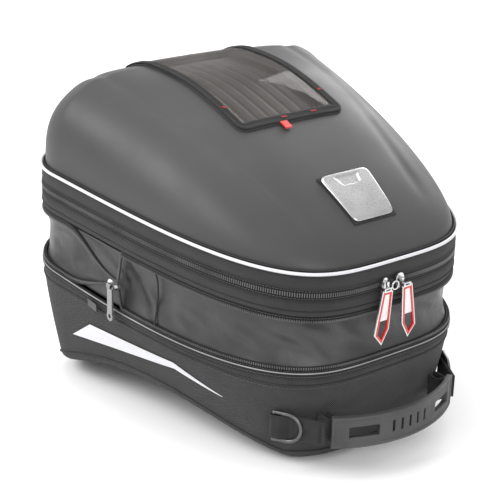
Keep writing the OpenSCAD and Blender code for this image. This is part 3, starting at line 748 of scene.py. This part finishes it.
def build_chain(name, node, line, up, body, meet=None):
    """A woven tape with coil teeth along its free edge; up is +1 or -1."""
    def row(inset, offset):
        if meet is None:
            return ring(inset, lambda y: line(y) + offset)
        return chain_ring(inset, line, offset, meet)
    sections = [(2.4, -1.2), (1.0, -1.2), (0.5, 0.2), (0.3, 2.2), (0.9, 3.8), (2.4, 3.8)]
    rings = [row(inset, up * offset) for inset, offset in sections]
    if up < 0:
        rings = rings[::-1]
    tape = make(name + "_tape", section_mesh(rings), TAPE_CLOTH, None, [node])
    coil = make(name + "_teeth", teeth(row(-0.1, up * 2.9)), TEETH, None)
    path = row(0.0, up * 0.4)
    sewn = make(name + "_stitching", stitches(path, pitch=2.8, length=2.0, size=0.5),
                GREY_THREAD, None)
    for piece in (tape, coil, sewn):
        if meet is None:
            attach(piece, body)
        else:
            fold_with_collar(piece)


def build_zips():
    build_chain("lower_expansion", "lower_expansion_chain", z_lower, 1, "base", meet=-2.0)
    build_chain("upper_expansion", "upper_expansion_chain", z_upper, -1, "collar", meet=2.5)
    build_chain("main_lower", "main_zip_lower_chain", lambda y: z_main(y, -3.6), 1, "collar")
    build_chain("main_upper", "main_zip_upper_chain", lambda y: z_main(y, 3.6), -1, "lid")


# ---- bands ----
def build_band(name, node, low, high, body, puff, seed):
    """A padded cloth band between two seams, fuller in its middle."""
    rings = []
    steps = 9
    for k in range(steps):
        t = k / (steps - 1)
        bulge = 0.6 - puff * math.sin(math.pi * t) ** 0.6
        rings.append(ring(bulge, lambda y, t=t: mix(low(y), high(y), t)))
    rings.append(ring(3.4, high))
    rings.append(ring(3.4, low))
    points, faces, uv = section_mesh(rings)
    make(name, (soften(points, 30, 0.45, seed), faces, uv), BAND_CLOTH, body, [node])


def build_bands():
    build_band("collar_cloth", "collar_band", lambda y: z_upper(y, 1), lambda y: z_main(y, -3.6),
               "collar", 1.0, 5)
    build_band("lid_cloth", "lid_band", lambda y: z_main(y, 3.6), lambda y: z_piping(y, -2.2),
               "lid", 0.9, 6)
    points, faces = join([tube(seam_ring(0.1, z_main, -4.4), 0.55),
                          tube(seam_ring(-0.35, z_upper, 5.5), 0.5)])
    make("collar_welts", (points, faces), BINDING_CLOTH, "collar")
    make("collar_stitching", stitches(seam_ring(-0.5, z_main, -6.2), pitch=2.7, length=1.9, size=0.45),
         DARK_THREAD, "collar")
    make("lid_band_stitching", stitches(seam_ring(-0.45, z_main, 5.6), pitch=2.7, length=1.9, size=0.45),
         DARK_THREAD, "lid")
    rings = [seam_ring(5.0, z_upper, 1), seam_ring(4.9, z_upper, 7),
             seam_ring(5.0, z_main, -4)]
    piece = make("collar_inner_cloth", rings_mesh(rings),
                 LINING_CLOTH, "collar", ["collar_lining"])
    thicken(piece, 0.8)


def build_piping():
    """Reflective piping between two dark welts."""
    cord = tube(seam_ring(-0.5, z_piping, -0.2), 1.35, sides=12)
    make("piping_cord", cord, REFLECTIVE, "lid", ["lid_piping"])
    points, faces = join([tube(seam_ring(0.3, z_piping, -2.1), 0.75),
                          tube(seam_ring(1.7, z_piping, 1.5), 0.7)])
    make("piping_welts", (points, faces), DARK_THREAD, "lid")


# ---- lid ----
def crease(x, y):
    """The soft shoulder line of the moulding: a shallow groove beside a swelling."""
    line = mix(99, 62, smooth((90 - y) / 250))
    away = np.abs(x) - line
    fade = smooth((y + 150) / 50) * smooth((158 - y) / 50)
    return (-1.3 * np.exp(-(away / 5.0) ** 2) + 0.9 * np.exp(-((away - 13) / 9) ** 2)) * fade


def over_lid(x, y, lift):
    """Points that stand lift above the lid's skin."""
    return np.stack([x, y, lid_z(x, y) + lift], 1)


def lid_surface(levels, t, detail=True):
    rings = []
    for g in levels:
        x, y = plan(ANGLES, LID_SINK + t, g)
        z = lid_z(x, y, t)
        if detail:
            z = z + crease(x, y) * smooth((1 - g) / 0.15)
        rings.append(np.stack([x, y, z], 1))
    return rings


def lid_pole(t=0.0):
    return (0, MID_Y, float(lid_z(0, MID_Y, t)))


def build_lid():
    levels = 1 - np.linspace(0, 1, 46)[:-1] ** 1.9 * 0.985
    outer = lid_surface(levels, 0)
    inner = lid_surface(levels[::3], LID_WALL, False)
    foot_out = seam_ring(LID_SINK, z_piping, -1.8)
    foot_in = seam_ring(LID_SINK + LID_WALL, z_piping, -1.8)
    rings = inner[::-1] + [foot_in, foot_out] + outer
    piece = make("lid_moulding", rings_mesh(rings, pole_a=lid_pole(LID_WALL), pole_b=lid_pole())[:2],
                 LID_SKIN, "lid", ["lid_shell"])
    cut_tray(piece)
    deep = TRAY_DEPTH + 3.2
    lining = lid_surface(1 - np.linspace(0, 1, 16)[:-1] ** 1.6, deep, False)
    lining.insert(0, seam_ring(LID_SINK + deep, z_piping, -1.8))
    make("lid_inner_cloth", rings_mesh(lining, pole_b=lid_pole(deep)),
         LINING_CLOTH, "lid", ["lid_lining"])


def tray_block(grow, low, high):
    """A block that follows the lid over the tray's outline."""
    xs = np.linspace(-POCKET_HALF + 4.5 - grow, POCKET_HALF - 4.5 + grow, 21)
    ys = np.linspace(POCKET_NEAR + 4.5 - grow, POCKET_FAR - 4.5 + grow, 33)
    gx, gy = np.meshgrid(xs, ys)
    points = [over_lid(gx.ravel(), gy.ravel(), lift) for lift in (low, high)]
    n, m = len(xs), len(ys)
    size = n * m
    faces = []
    for r in range(m - 1):
        for k in range(n - 1):
            a = r * n + k
            faces.append((a + n, a + n + 1, a + 1, a))
            faces.append((size + a, size + a + 1, size + a + n + 1, size + a + n))
    border = list(range(n)) + [r * n + n - 1 for r in range(1, m)]
    border += [size - 1 - k for k in range(1, n)] + [(m - 1 - r) * n for r in range(1, m - 1)]
    for a, b in zip(border, border[1:] + border[:1]):
        faces.append((a, b, size + b, size + a))
    return np.vstack(points), faces


def cut_tray(piece):
    """Cuts the tray's opening through the lid."""
    points, faces = tray_block(0.3, -12, 6)
    mesh = bpy.data.meshes.new("tray_cutter")
    mesh.from_pydata((points * MM).tolist(), [], faces)
    cutter = put("tray_cutter", mesh)
    cut = piece.modifiers.new("tray", "BOOLEAN")
    cut.operation = "DIFFERENCE"
    cut.solver = "EXACT"
    cut.object = cutter
    apply_modifiers(piece)
    bpy.data.objects.remove(cutter)


# ---- telephone pocket ----
def pocket_loop(inset, per_side=40):
    """The pocket's rounded rectangle, anticlockwise, evenly spaced."""
    r = max(POCKET_CORNER - inset, 0.6)
    x, near, far = POCKET_HALF - inset - r, POCKET_NEAR + inset + r, POCKET_FAR - inset - r
    corners = [(x, far), (-x, far), (-x, near), (x, near)]
    points = []
    for c, (cx, cy) in enumerate(corners):
        turn = math.pi / 2 * c
        for k in range(7):
            a = turn + math.pi / 2 * k / 6
            points.append((cx + r * math.cos(a), cy + r * math.sin(a)))
        ex, ey = corners[(c + 1) % 4]
        for k in range(1, per_side):
            t = k / per_side
            points.append((mix(cx, ex, t) + r * math.cos(turn + math.pi / 2),
                           mix(cy, ey, t) + r * math.sin(turn + math.pi / 2)))
    return np.asarray(points)


def pocket_ring(inset, lift, follow=True):
    """A ring of the pocket, lift above the skin or below the cover's outer face."""
    x, y = pocket_loop(inset).T
    return over_lid(x, y, lift + (cover_lift(y) if follow else 0))


def build_pocket():
    sections = [(7.8, -1.4), (0.2, -1.4), (-0.1, -0.9), (0.1, -0.2), (1.2, 0.1), (3.0, -0.05),
                (3.7, -0.55), (4.4, -0.05), (6.4, 0.1), (7.6, -0.2), (8.0, -0.9)]
    make("pocket_binding", section_mesh([pocket_ring(i, lift) for i, lift in sections]),
         BINDING_CLOTH, "pocket_cover", ["pocket_cover_frame"])
    rim = [pocket_ring(3.5, 0.15, False), pocket_ring(0.4, 0.15, False),
           pocket_ring(0.4, -COVER_THICK - 0.3), pocket_ring(3.5, -COVER_THICK - 0.3)]
    make("pocket_zip_wall", section_mesh(rim), TAPE_CLOTH, "lid", ["pocket_rim_wall"])
    spots = resample(pocket_ring(0.2, 0.8, False), 1.8)[0]
    centre = np.array([0, 48.0, 0])
    make("pocket_zip_teeth", join([capsule(s, UP, s - centre, 1.2, 1.2, 0.9) for s in spots]),
         TEETH, "lid")
    build_pocket_window()
    loop = pocket_ring(5.7, 0.15)
    make("pocket_stitching", stitches(loop, pitch=3.0, length=2.1, size=0.4, outs=UP),
         DARK_THREAD, "pocket_cover")
    xs = np.linspace(-POCKET_HALF + 8, POCKET_HALF - 8, 40)
    y = POCKET_FAR - 5.4
    far = over_lid(xs, np.full(40, y), cover_lift(y) + 0.3)
    tacks = [stitches(far, closed=False, pitch=2.5, length=1.7, size=0.6, outs=UP)]
    places = [(-POCKET_HALF + 5, -8), (POCKET_HALF - 5, -8), (-8, POCKET_NEAR + 4.2),
              (24, POCKET_NEAR + 4.2)]
    for x, y in places:
        along = np.array([0, 1.0, 0]) if abs(x) > 40 else np.array([1.0, 0, 0])
        for k in range(5):
            spot = np.array([x, y, float(lid_z(x, y)) + float(cover_lift(y)) + 0.25])
            tacks.append(capsule(spot + along * (k - 2) * 1.1, along[[1, 0, 2]], UP, 3.2, 0.8, 0.6))
    make("pocket_red_stitching", join(tacks), RED_THREAD, "pocket_cover")


def grid_piece(name, xs, ys, height, material, body, nodes, thickness):
    """A sheet over a grid of places, given its thickness downwards."""
    gx, gy = np.meshgrid(xs, ys)
    gz = height(gx, gy)
    points = np.stack([gx.ravel(), gy.ravel(), gz.ravel()], 1)
    n = len(xs)
    faces = [(r * n + k, r * n + k + 1, (r + 1) * n + k + 1, (r + 1) * n + k)
             for r in range(len(ys) - 1) for k in range(n - 1)]
    uv = Spots((p[0] + 200, p[1] + 200) for p in points)
    thicken(make(name, (points, faces, uv), material, body, nodes), thickness)


def build_pocket_window():
    edge = COVER_RIM - 0.2
    xs = np.linspace(-POCKET_HALF + edge, POCKET_HALF - edge, 40)
    ys = np.linspace(POCKET_NEAR + edge, POCKET_FAR - edge, 64)

    def film(x, y):
        ripple = 0.35 * np.sin(x * 0.06 + y * 0.045) + 0.25 * np.sin(y * 0.11 - x * 0.05)
        edge_x = smooth((POCKET_HALF - edge - np.abs(x)) / 14)
        edge_y = smooth(np.minimum(y - POCKET_NEAR - edge, POCKET_FAR - edge - y) / 14)
        return lid_z(x, y) + cover_lift(y) - 0.9 + ripple * edge_x * edge_y

    grid_piece("pocket_clear_film", xs, ys, film, WINDOW, "pocket_cover",
               ["pocket_window"], 0.5)

    rim = 4.8

    def pad(x, y):
        grooves = 0.35 * np.cos(x * 2 * math.pi / 24.5) ** 8
        side = np.minimum(POCKET_HALF - rim - np.abs(x),
                          np.minimum(y - POCKET_NEAR - rim, POCKET_FAR - rim - y))
        wall = 1 - smooth(side / 2.6)
        return lid_z(x, y) - TRAY_DEPTH * (1 - wall) - grooves * (1 - wall)

    grid_piece("pocket_tray_cloth", np.linspace(-POCKET_HALF + rim, POCKET_HALF - rim, 150),
               np.linspace(POCKET_NEAR + rim, POCKET_FAR - rim, 200), pad, PAD, "lid",
               ["pocket_back_pad"], 0.9)


# ---- webbing ----
def strap(name, path, width, thick, material, body, nodes, lean=UP):
    """Ribbed webbing along a path; its width lies along the direction lean."""
    spots, ahead = resample(path, 0.42, False)
    lean = np.asarray(lean, float)
    run = np.arange(len(spots)) * 0.42
    rib = 0.13 * np.sin(run * 2 * math.pi / 1.7)
    side = np.cross(ahead, lean)
    side /= np.linalg.norm(side, axis=1)[:, None]
    edge = [(-0.5, -0.2), (-0.47, -0.5), (-0.25, -0.5), (0, -0.5), (0.25, -0.5), (0.47, -0.5),
            (0.5, -0.2), (0.5, 0.2), (0.47, 0.5), (0.25, 0.5), (0, 0.5), (-0.25, 0.5),
            (-0.47, 0.5), (-0.5, 0.2)]
    rows = []
    for s, d, bump in zip(spots, side, rib):
        rows.append([s + lean * (a * width) + d * (b * thick + math.copysign(bump, b)) for a, b in edge])
    rows = np.asarray(rows)
    points, faces, uv = rings_mesh(rows)
    faces.append(list(range(len(edge)))[::-1])
    faces.append([(len(rows) - 1) * len(edge) + k for k in range(len(edge))])
    return make(name, (points, faces, uv), material, body, nodes)


def bartack(spot, along, out, width):
    """A dense zigzag of stitches across a strap, standing on its face."""
    parts = []
    across = np.cross(out, along)
    for k in range(int(width / 0.9)):
        at = spot + across * (k * 0.9 - width / 2 + 0.45)
        parts.append(capsule(at, along, out, 3.0, 0.7, 0.6))
    return join(parts)


def at_ring(side, x, y, z=0.0):
    """A place in a D-ring's own frame: x along the webbing towards the handle, y into the wall."""
    turn = math.radians(-RING_TURN)
    px = x * math.cos(turn) - y * math.sin(turn)
    py = x * math.sin(turn) + y * math.cos(turn)
    return np.array([side * (RING_BAR_X - px), RING_BAR_Y + py, HANDLE_Z + z])


def build_ring_straps():
    for side, name in ((-1, "left"), (1, "right")):
        flat = [(42, 2.9), (30, 2.9), (16, 2.9), (5, 2.75)]
        loop = [(2.75 * math.cos(math.radians(a)), 2.75 * math.sin(math.radians(a)))
                for a in range(75, 286, 15)]
        back = [(5, -2.0), (8.5, -0.2), (12, 1.0), (20, 1.35), (31, 1.35), (42, 1.35)]
        path = [at_ring(side, x, y) for x, y in flat + loop + back]
        strap("d_ring_webbing_" + name, path, 20, 1.3, WEBBING, "base",
              ["d_ring_strap_" + name])
        along = at_ring(side, 1, 0) - at_ring(side, 0, 0)
        out = at_ring(side, 0, -1) - at_ring(side, 0, 0)
        points, faces = join([bartack(at_ring(side, x, 0.45), along, out, 17) for x in (15, 38)])
        make("d_ring_bartacks_" + name, (points, faces), DARK_THREAD, "base")


def wall_y(x, z):
    """Y of the base's face at the handle end."""
    top = LEVEL_LOWER - SLOPE * HALF_LEN + LOWER_DIP - BASE_TOP_GAP
    u = min(1, max(0, (top - z) / (top - FEET_LEVEL - FOOT_RADIUS)))
    inset = BASE_TAPER * u ** 1.3
    reach = float(half_width(-HALF_LEN + 20)) - inset
    return MID_Y - (NEAR_LEN - inset) * (1 - min(1, abs(x) / reach) ** SQUARE_NEAR) ** (1 / SQUARE_NEAR)


def build_handle_anchors():
    for side, name in ((-1, "left"), (1, "right")):
        x = HANDLE_SPAN / 2 - 6
        outer, inner = wall_y(x + 4, HANDLE_Z + 10) - 0.4, wall_y(x - 4, HANDLE_Z + 10) - 0.4
        tip = HANDLE_Y + 5.2
        path = [(x + 4.1, outer), (x + 4.2, mix(outer, tip, 0.5)), (x + 4.1, tip + 2),
                (x + 2.6, tip + 0.7), (x - 2.6, tip + 0.7), (x - 4.1, tip + 2),
                (x - 4.2, mix(inner, tip, 0.5)), (x - 4.1, inner)]
        strap("handle_webbing_" + name, [(side * px, py, HANDLE_Z) for px, py in path], 20, 1.4,
              WEBBING, "base", ["handle_anchor_" + name])


def build_release_strap():
    y = -RING_OUTER - 9.8
    path = [(0, y - t * 26, RELEASE_Z + 0.9 - 0.5 * math.sin(math.pi * t))
            for t in np.linspace(0, 1, 20)]
    strap("release_webbing", path, 16, 1.3, WEBBING, "release", ["release_strap"],
          lean=(1.0, 0, 0))
    points, faces = bartack(np.array([0, y - 5, RELEASE_Z - 0.1]), np.array([0, 1.0, 0]),
                            np.array([0, 0, -1.0]), 13)
    make("release_bartack", (points, faces), RED_THREAD, "release")


# ---- carrying handle ----
def handle_point(run, depth, z):
    """A place on the handle's bow: run along it from the middle, depth into it."""
    turn = run / HANDLE_R
    r = HANDLE_R - depth
    return (r * math.sin(turn), HANDLE_CENTRE_Y - r * math.cos(turn), HANDLE_Z + z)


def build_handle():
    """A moulded bow with a raised border, two windows and five narrow slots."""
    reach, half = HANDLE_R * HANDLE_ANGLE, HANDLE_HEIGHT / 2
    window, pane, pane_half = reach * 0.62, 13, 4.5
    slot, slot_half, border, step = 1.1, 5, 2.4, 3.2
    bars = [HANDLE_R * math.radians(4.2) * k for k in range(-2, 3)]
    cuts = {reach, reach - border, reach - step}
    cuts |= {window + d for d in (-pane - 2, -pane, pane, pane + 2)}
    marks = sorted(cuts | {-c for c in cuts} | {b + d for b in bars for d in (-slot, slot)})
    runs = []
    for a, b in zip(marks, marks[1:]):
        steps = max(1, round((b - a) / 3))
        runs += [mix(a, b, k / steps) for k in range(steps)]
    runs.append(marks[-1])
    rows = [1.5, pane_half, slot_half, half - step, half - border, half]
    rows = [-z for z in rows[::-1]] + rows

    def solid(i, j):
        if not (0 <= i < len(runs) - 1 and 0 <= j < len(rows) - 1):
            return False
        run, z = (runs[i] + runs[i + 1]) / 2, (rows[j] + rows[j + 1]) / 2
        if abs(z) < pane_half and abs(abs(run) - window) < pane:
            return False
        return not (abs(z) < slot_half and any(abs(run - b) < slot for b in bars))

    def relief(run, z):
        rim = abs(z) > half - 2.9 or abs(run) > reach - 2.9
        lip = abs(abs(run) - window) < 15.5 and abs(z) < 5.6 and abs(abs(run) - window) > 12
        return 0.0 if rim or lip else 0.9

    n = len(rows)
    points = [handle_point(run, relief(run, z), z) for run in runs for z in rows]
    points += [handle_point(run, HANDLE_THICK, z) for run in runs for z in rows]
    back = len(runs) * n
    faces = []
    for i in range(len(runs) - 1):
        for j in range(n - 1):
            if not solid(i, j):
                continue
            a, b, c, d = i * n + j, (i + 1) * n + j, (i + 1) * n + j + 1, i * n + j + 1
            faces += [(a, b, c, d), (back + d, back + c, back + b, back + a)]
            for p, q, open_side in ((a, b, solid(i, j - 1)), (b, c, solid(i + 1, j)),
                                    (c, d, solid(i, j + 1)), (d, a, solid(i - 1, j))):
                if not open_side:
                    faces.append((q, p, back + p, back + q))
    piece = make("handle_moulding", (points, faces), RUBBER, "base", ["handle_strap"])
    drop_loose(piece)
    round_edges(piece, 0.7)


def drop_loose(piece):
    """Removes points that no face uses."""
    used = sorted({v for polygon in piece.data.polygons for v in polygon.vertices})
    place = {v: k for k, v in enumerate(used)}
    mesh = bpy.data.meshes.new(piece.name)
    mesh.from_pydata([piece.data.vertices[v].co[:] for v in used], [],
                     [[place[v] for v in polygon.vertices] for polygon in piece.data.polygons])
    for material in piece.data.materials:
        mesh.materials.append(material)
    piece.data = mesh


def round_edges(piece, width):
    """Rounds a moulded piece's edges."""
    bevel = piece.modifiers.new("edges", "BEVEL")
    bevel.width = width * MM
    bevel.segments = 3
    bevel.limit_method = "ANGLE"
    bevel.angle_limit = math.radians(35)
    apply_modifiers(piece)
    smooth_by_angle(piece)


def smooth_by_angle(piece):
    piece.data.polygons.foreach_set("use_smooth", [True] * len(piece.data.polygons))
    piece.data.set_sharp_from_angle(angle=math.radians(50))


# ---- badge ----
def badge_outline(inset, n=30):
    """Rounded outline of the tapering badge, n points a side, anticlockwise."""
    corners = [(26, BADGE_FAR), (-26, BADGE_FAR), (-21.5, BADGE_NEAR), (21.5, BADGE_NEAR)]
    centre = np.array([0, (BADGE_FAR + BADGE_NEAR) / 2])
    points = []
    for k in range(4):
        a, b = np.array(corners[k]), np.array(corners[(k + 1) % 4])
        for t in np.linspace(0, 1, n, endpoint=False):
            points.append(mix(a, b, t))
    points = np.asarray(points)
    for _ in range(14):
        points = (np.roll(points, 1, 0) + points * 2 + np.roll(points, -1, 0)) / 4
    shrink = 1 - inset / 21.0
    return centre + (points - centre) * shrink


def build_badge():
    def top(x, y):
        pit = smooth((12.5 - 0.35 * (BADGE_FAR - 4 - y) - np.abs(x)) / 1.2)
        pit = pit * smooth((BADGE_FAR - 3.5 - y) / 1.0) * smooth((y - BADGE_FAR + 13) / 1.6)
        return 4.0 - 1.3 * pit

    rings = []
    for inset, lift in ((0.6, 1.25), (0.0, 1.5), (0.0, 2.5), (0.35, 3.2), (0.9, 3.7), (1.6, 3.95)):
        rings.append(over_lid(*badge_outline(inset).T, lift))
    for inset in np.linspace(2.2, 20.4, 40):
        x, y = badge_outline(inset).T
        rings.append(over_lid(x, y, top(x, y)))
    middle = (BADGE_FAR + BADGE_NEAR) / 2
    tops = (0, middle, float(lid_z(0, middle)) + 4.0)
    foot = (0, middle, float(lid_z(0, middle)) + 1.25)
    make("badge_cover", rings_mesh(rings, pole_a=foot, pole_b=tops)[:2],
         SILVER, "lid", ["badge_plate"])


# ---- zip pulls ----
def inset_polygon(corners, inset):
    """A convex or nearly convex outline moved inwards by inset."""
    corners = np.asarray(corners, float)
    n = len(corners)
    area = sum(corners[k - 1][0] * corners[k][1] - corners[k][0] * corners[k - 1][1] for k in range(n))
    turn = 1 if area > 0 else -1
    moved = []
    for k in range(n):
        a, b, c = corners[k - 1], corners[k], corners[(k + 1) % n]
        u, v = (b - a) / np.linalg.norm(b - a), (c - b) / np.linalg.norm(c - b)
        m, w = turn * np.array([-u[1], u[0]]), turn * np.array([-v[1], v[0]])
        moved.append(b + inset * (m + w) / (1 + m @ w))
    return np.asarray(moved)


def pull_loop(side, corners, depth, lean=7):
    """Outline corners put in the pull's place, depth outwards from its back."""
    lean = math.radians(lean * side)
    points = []
    for x, z in corners:
        x = x if side < 0 else -x
        px, pz = x * math.cos(lean) - z * math.sin(lean), x * math.sin(lean) + z * math.cos(lean)
        points.append((ZIP_MEETING_X + side * 10.5 + px, PULL_FACE_Y - depth, PULL_PIVOT_Z - 1.4 + pz))
    return points


def build_pulls():
    w, drop = 15, 46
    outline = [(-w * 0.36, 0), (w * 0.36, 0), (w * 0.5, -drop + 14), (w * 0.12, -drop),
               (-w * 0.5, -drop + 14 * 0.62)]
    for side, name in ((-1, "left"), (1, "right")):
        def loop(inset, depth):
            return pull_loop(side, inset_polygon(outline, inset), depth)
        layers = [("edge", PULL_SILVER, 0.0, 1.5, 0.2, 2.1), ("frame", RED, 1.1, 2.75, 0.0, 2.5)]
        for part, material, outer, inner, low, high in layers:
            rings = [loop(outer, low), loop(outer, high), loop(inner, high), loop(inner, low)]
            nodes = ["pull_frame_" + name] if part == "frame" else []
            piece = make("pull_" + part + "_rim_" + name, section_mesh(rings)[:2], material,
                         "pull_" + name, nodes)
            outward_faces(piece)
            round_edges(piece, 0.35)
        eye = [(-3.9, -1.2), (3.9, -1.2), (3.6, 2.5), (-3.6, 2.5)]
        hole = [(-2.4, 0.2), (2.4, 0.2), (2.4, 1.4), (-2.4, 1.4)]
        section = ((eye, 0), (eye, 2.4), (hole, 2.4), (hole, 0))
        rings = [pull_loop(side, corners, depth, 0) for corners, depth in section]
        piece = make("pull_eye_" + name, section_mesh(rings)[:2],
                     PULL_SILVER, "pull_" + name)
        outward_faces(piece)
        round_edges(piece, 0.3)


def outward_faces(piece):
    """Turns all faces of a closed piece outwards."""
    shape = bmesh.new()
    shape.from_mesh(piece.data)
    bmesh.ops.recalc_face_normals(shape, faces=shape.faces)
    shape.to_mesh(piece.data)
    shape.free()


# ---- hinge cloth of the lid ----
def build_lid_hinge():
    y = HALF_LEN - 9.6
    low, high = float(z_main(HALF_LEN)) - 7, float(z_main(HALF_LEN)) + 9
    rows = [[(x, y + 0.5 * math.sin((z - low) * 0.4), z) for x in np.linspace(-50, 50, 41)]
            for z in np.linspace(low, high, 17)]
    piece = make("lid_hinge_cloth", rings_mesh(rows, open_rings=True),
                 TAPE_CLOTH, None, ["lid_hinge_fabric"])
    thicken(piece, 0.8)
    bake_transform(piece)


# ---- far side of the pocket ----
def build_pocket_end():
    xs = np.linspace(-POCKET_HALF, POCKET_HALF, 60)

    high = FAR_LIFT - COVER_THICK
    section = ((3.4, 0.35), (3.6, high * 0.5), (3.1, high), (1.2, high + 0.1),
               (0.6, high - 0.3), (0.6, 0.4))
    rows = [over_lid(xs, np.full(60, POCKET_FAR + past), lift) for past, lift in section]
    points, faces, uv = rings_mesh(rows, closed_section=True, open_rings=True)
    n = len(xs)
    faces.append([r * n for r in range(len(rows))])
    faces.append([r * n + n - 1 for r in reversed(range(len(rows)))])
    piece = make("pocket_hinge_cloth", (points, faces, uv), BINDING_CLOTH, "lid",
                 ["pocket_far_wall"])
    outward_faces(piece)


# ---- stage and light ----
def build_stage():
    mesh = bpy.data.meshes.new("floor")
    size, z = 6.0, FEET_LEVEL * MM
    mesh.from_pydata([(-size, -size, z), (size, -size, z), (size, size, z), (-size, size, z)],
                     [], [(0, 1, 2, 3)])
    floor = put("floor", mesh)
    made = Shader("floor_paper", 0.7, spec=0.2)
    made.colour(made.ramp(made.noise(3, 2), 0.9, 0.93))
    mesh.materials.append(made.material)
    world = bpy.data.worlds.new("studio")
    world.use_nodes = True
    world.node_tree.nodes["Background"].inputs["Color"].default_value = (1, 1, 1, 1)
    world.node_tree.nodes["Background"].inputs["Strength"].default_value = 0.92
    bpy.context.scene.world = world
    bpy.context.scene.view_settings.view_transform = "Standard"


def soft_light(name, place, aim, size, power):
    data = bpy.data.lights.new(name, "AREA")
    data.shape = "RECTANGLE"
    data.size, data.size_y = size
    data.energy = power
    lamp = put(name, data)
    lamp.location = place
    lamp.rotation_euler = (Vector(aim) - Vector(place)).to_track_quat("-Z", "Y").to_euler()


def build_lights():
    soft_light("key", (-1.3, 0.5, 1.25), (0, 0.05, 0.1), (1.2, 0.9), 22)
    soft_light("front", (-0.5, -1.7, 0.9), (0, 0, 0.08), (1.0, 0.8), 9)
    soft_light("rim", (1.4, 0.6, 0.9), (0, 0.05, 0.1), (0.8, 0.9), 10)
    soft_light("top", (0.1, 0.3, 1.9), (0, 0, 0.1), (1.1, 1.1), 8)


# ---- frame pieces that keep their CAD shape ----
CARRIED = {
    "lock_ring": LOCK_PLASTIC, "lock_backing_plate": STEEL, "lock_screws": STEEL,
    "release_slider": RED, "expansion_zip_garage": LOCK_PLASTIC, "collar_hoop": SOFT_PLASTIC,
    "expansion_slider": CHROME, "expansion_pull_tab": TAB_METAL, "main_slider_left": CHROME,
    "main_slider_right": CHROME, "slider_lock_ring": CHROME, "pull_inlay_left": PULL_SILVER,
    "pull_inlay_right": PULL_SILVER,
    "badge_gasket": GASKET, "d_ring_left": RING_METAL, "d_ring_right": RING_METAL,
    "reflective_flash_left": REFLECTIVE, "reflective_flash_right": REFLECTIVE,
    "pocket_pull_loop": RED,
}


def finish_carried():
    for name, material in CARRIED.items():
        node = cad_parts[name]
        node.data.materials.clear()
        node.data.materials.append(material)


build_stage()
build_lights()
build_base()
build_binding()
build_base_lining()
build_gusset()
build_zips()
build_bands()
build_piping()
build_lid()
build_pocket()
build_pocket_end()
build_ring_straps()
build_handle_anchors()
build_release_strap()
build_handle()
build_badge()
build_pulls()
build_lid_hinge()
finish_carried()
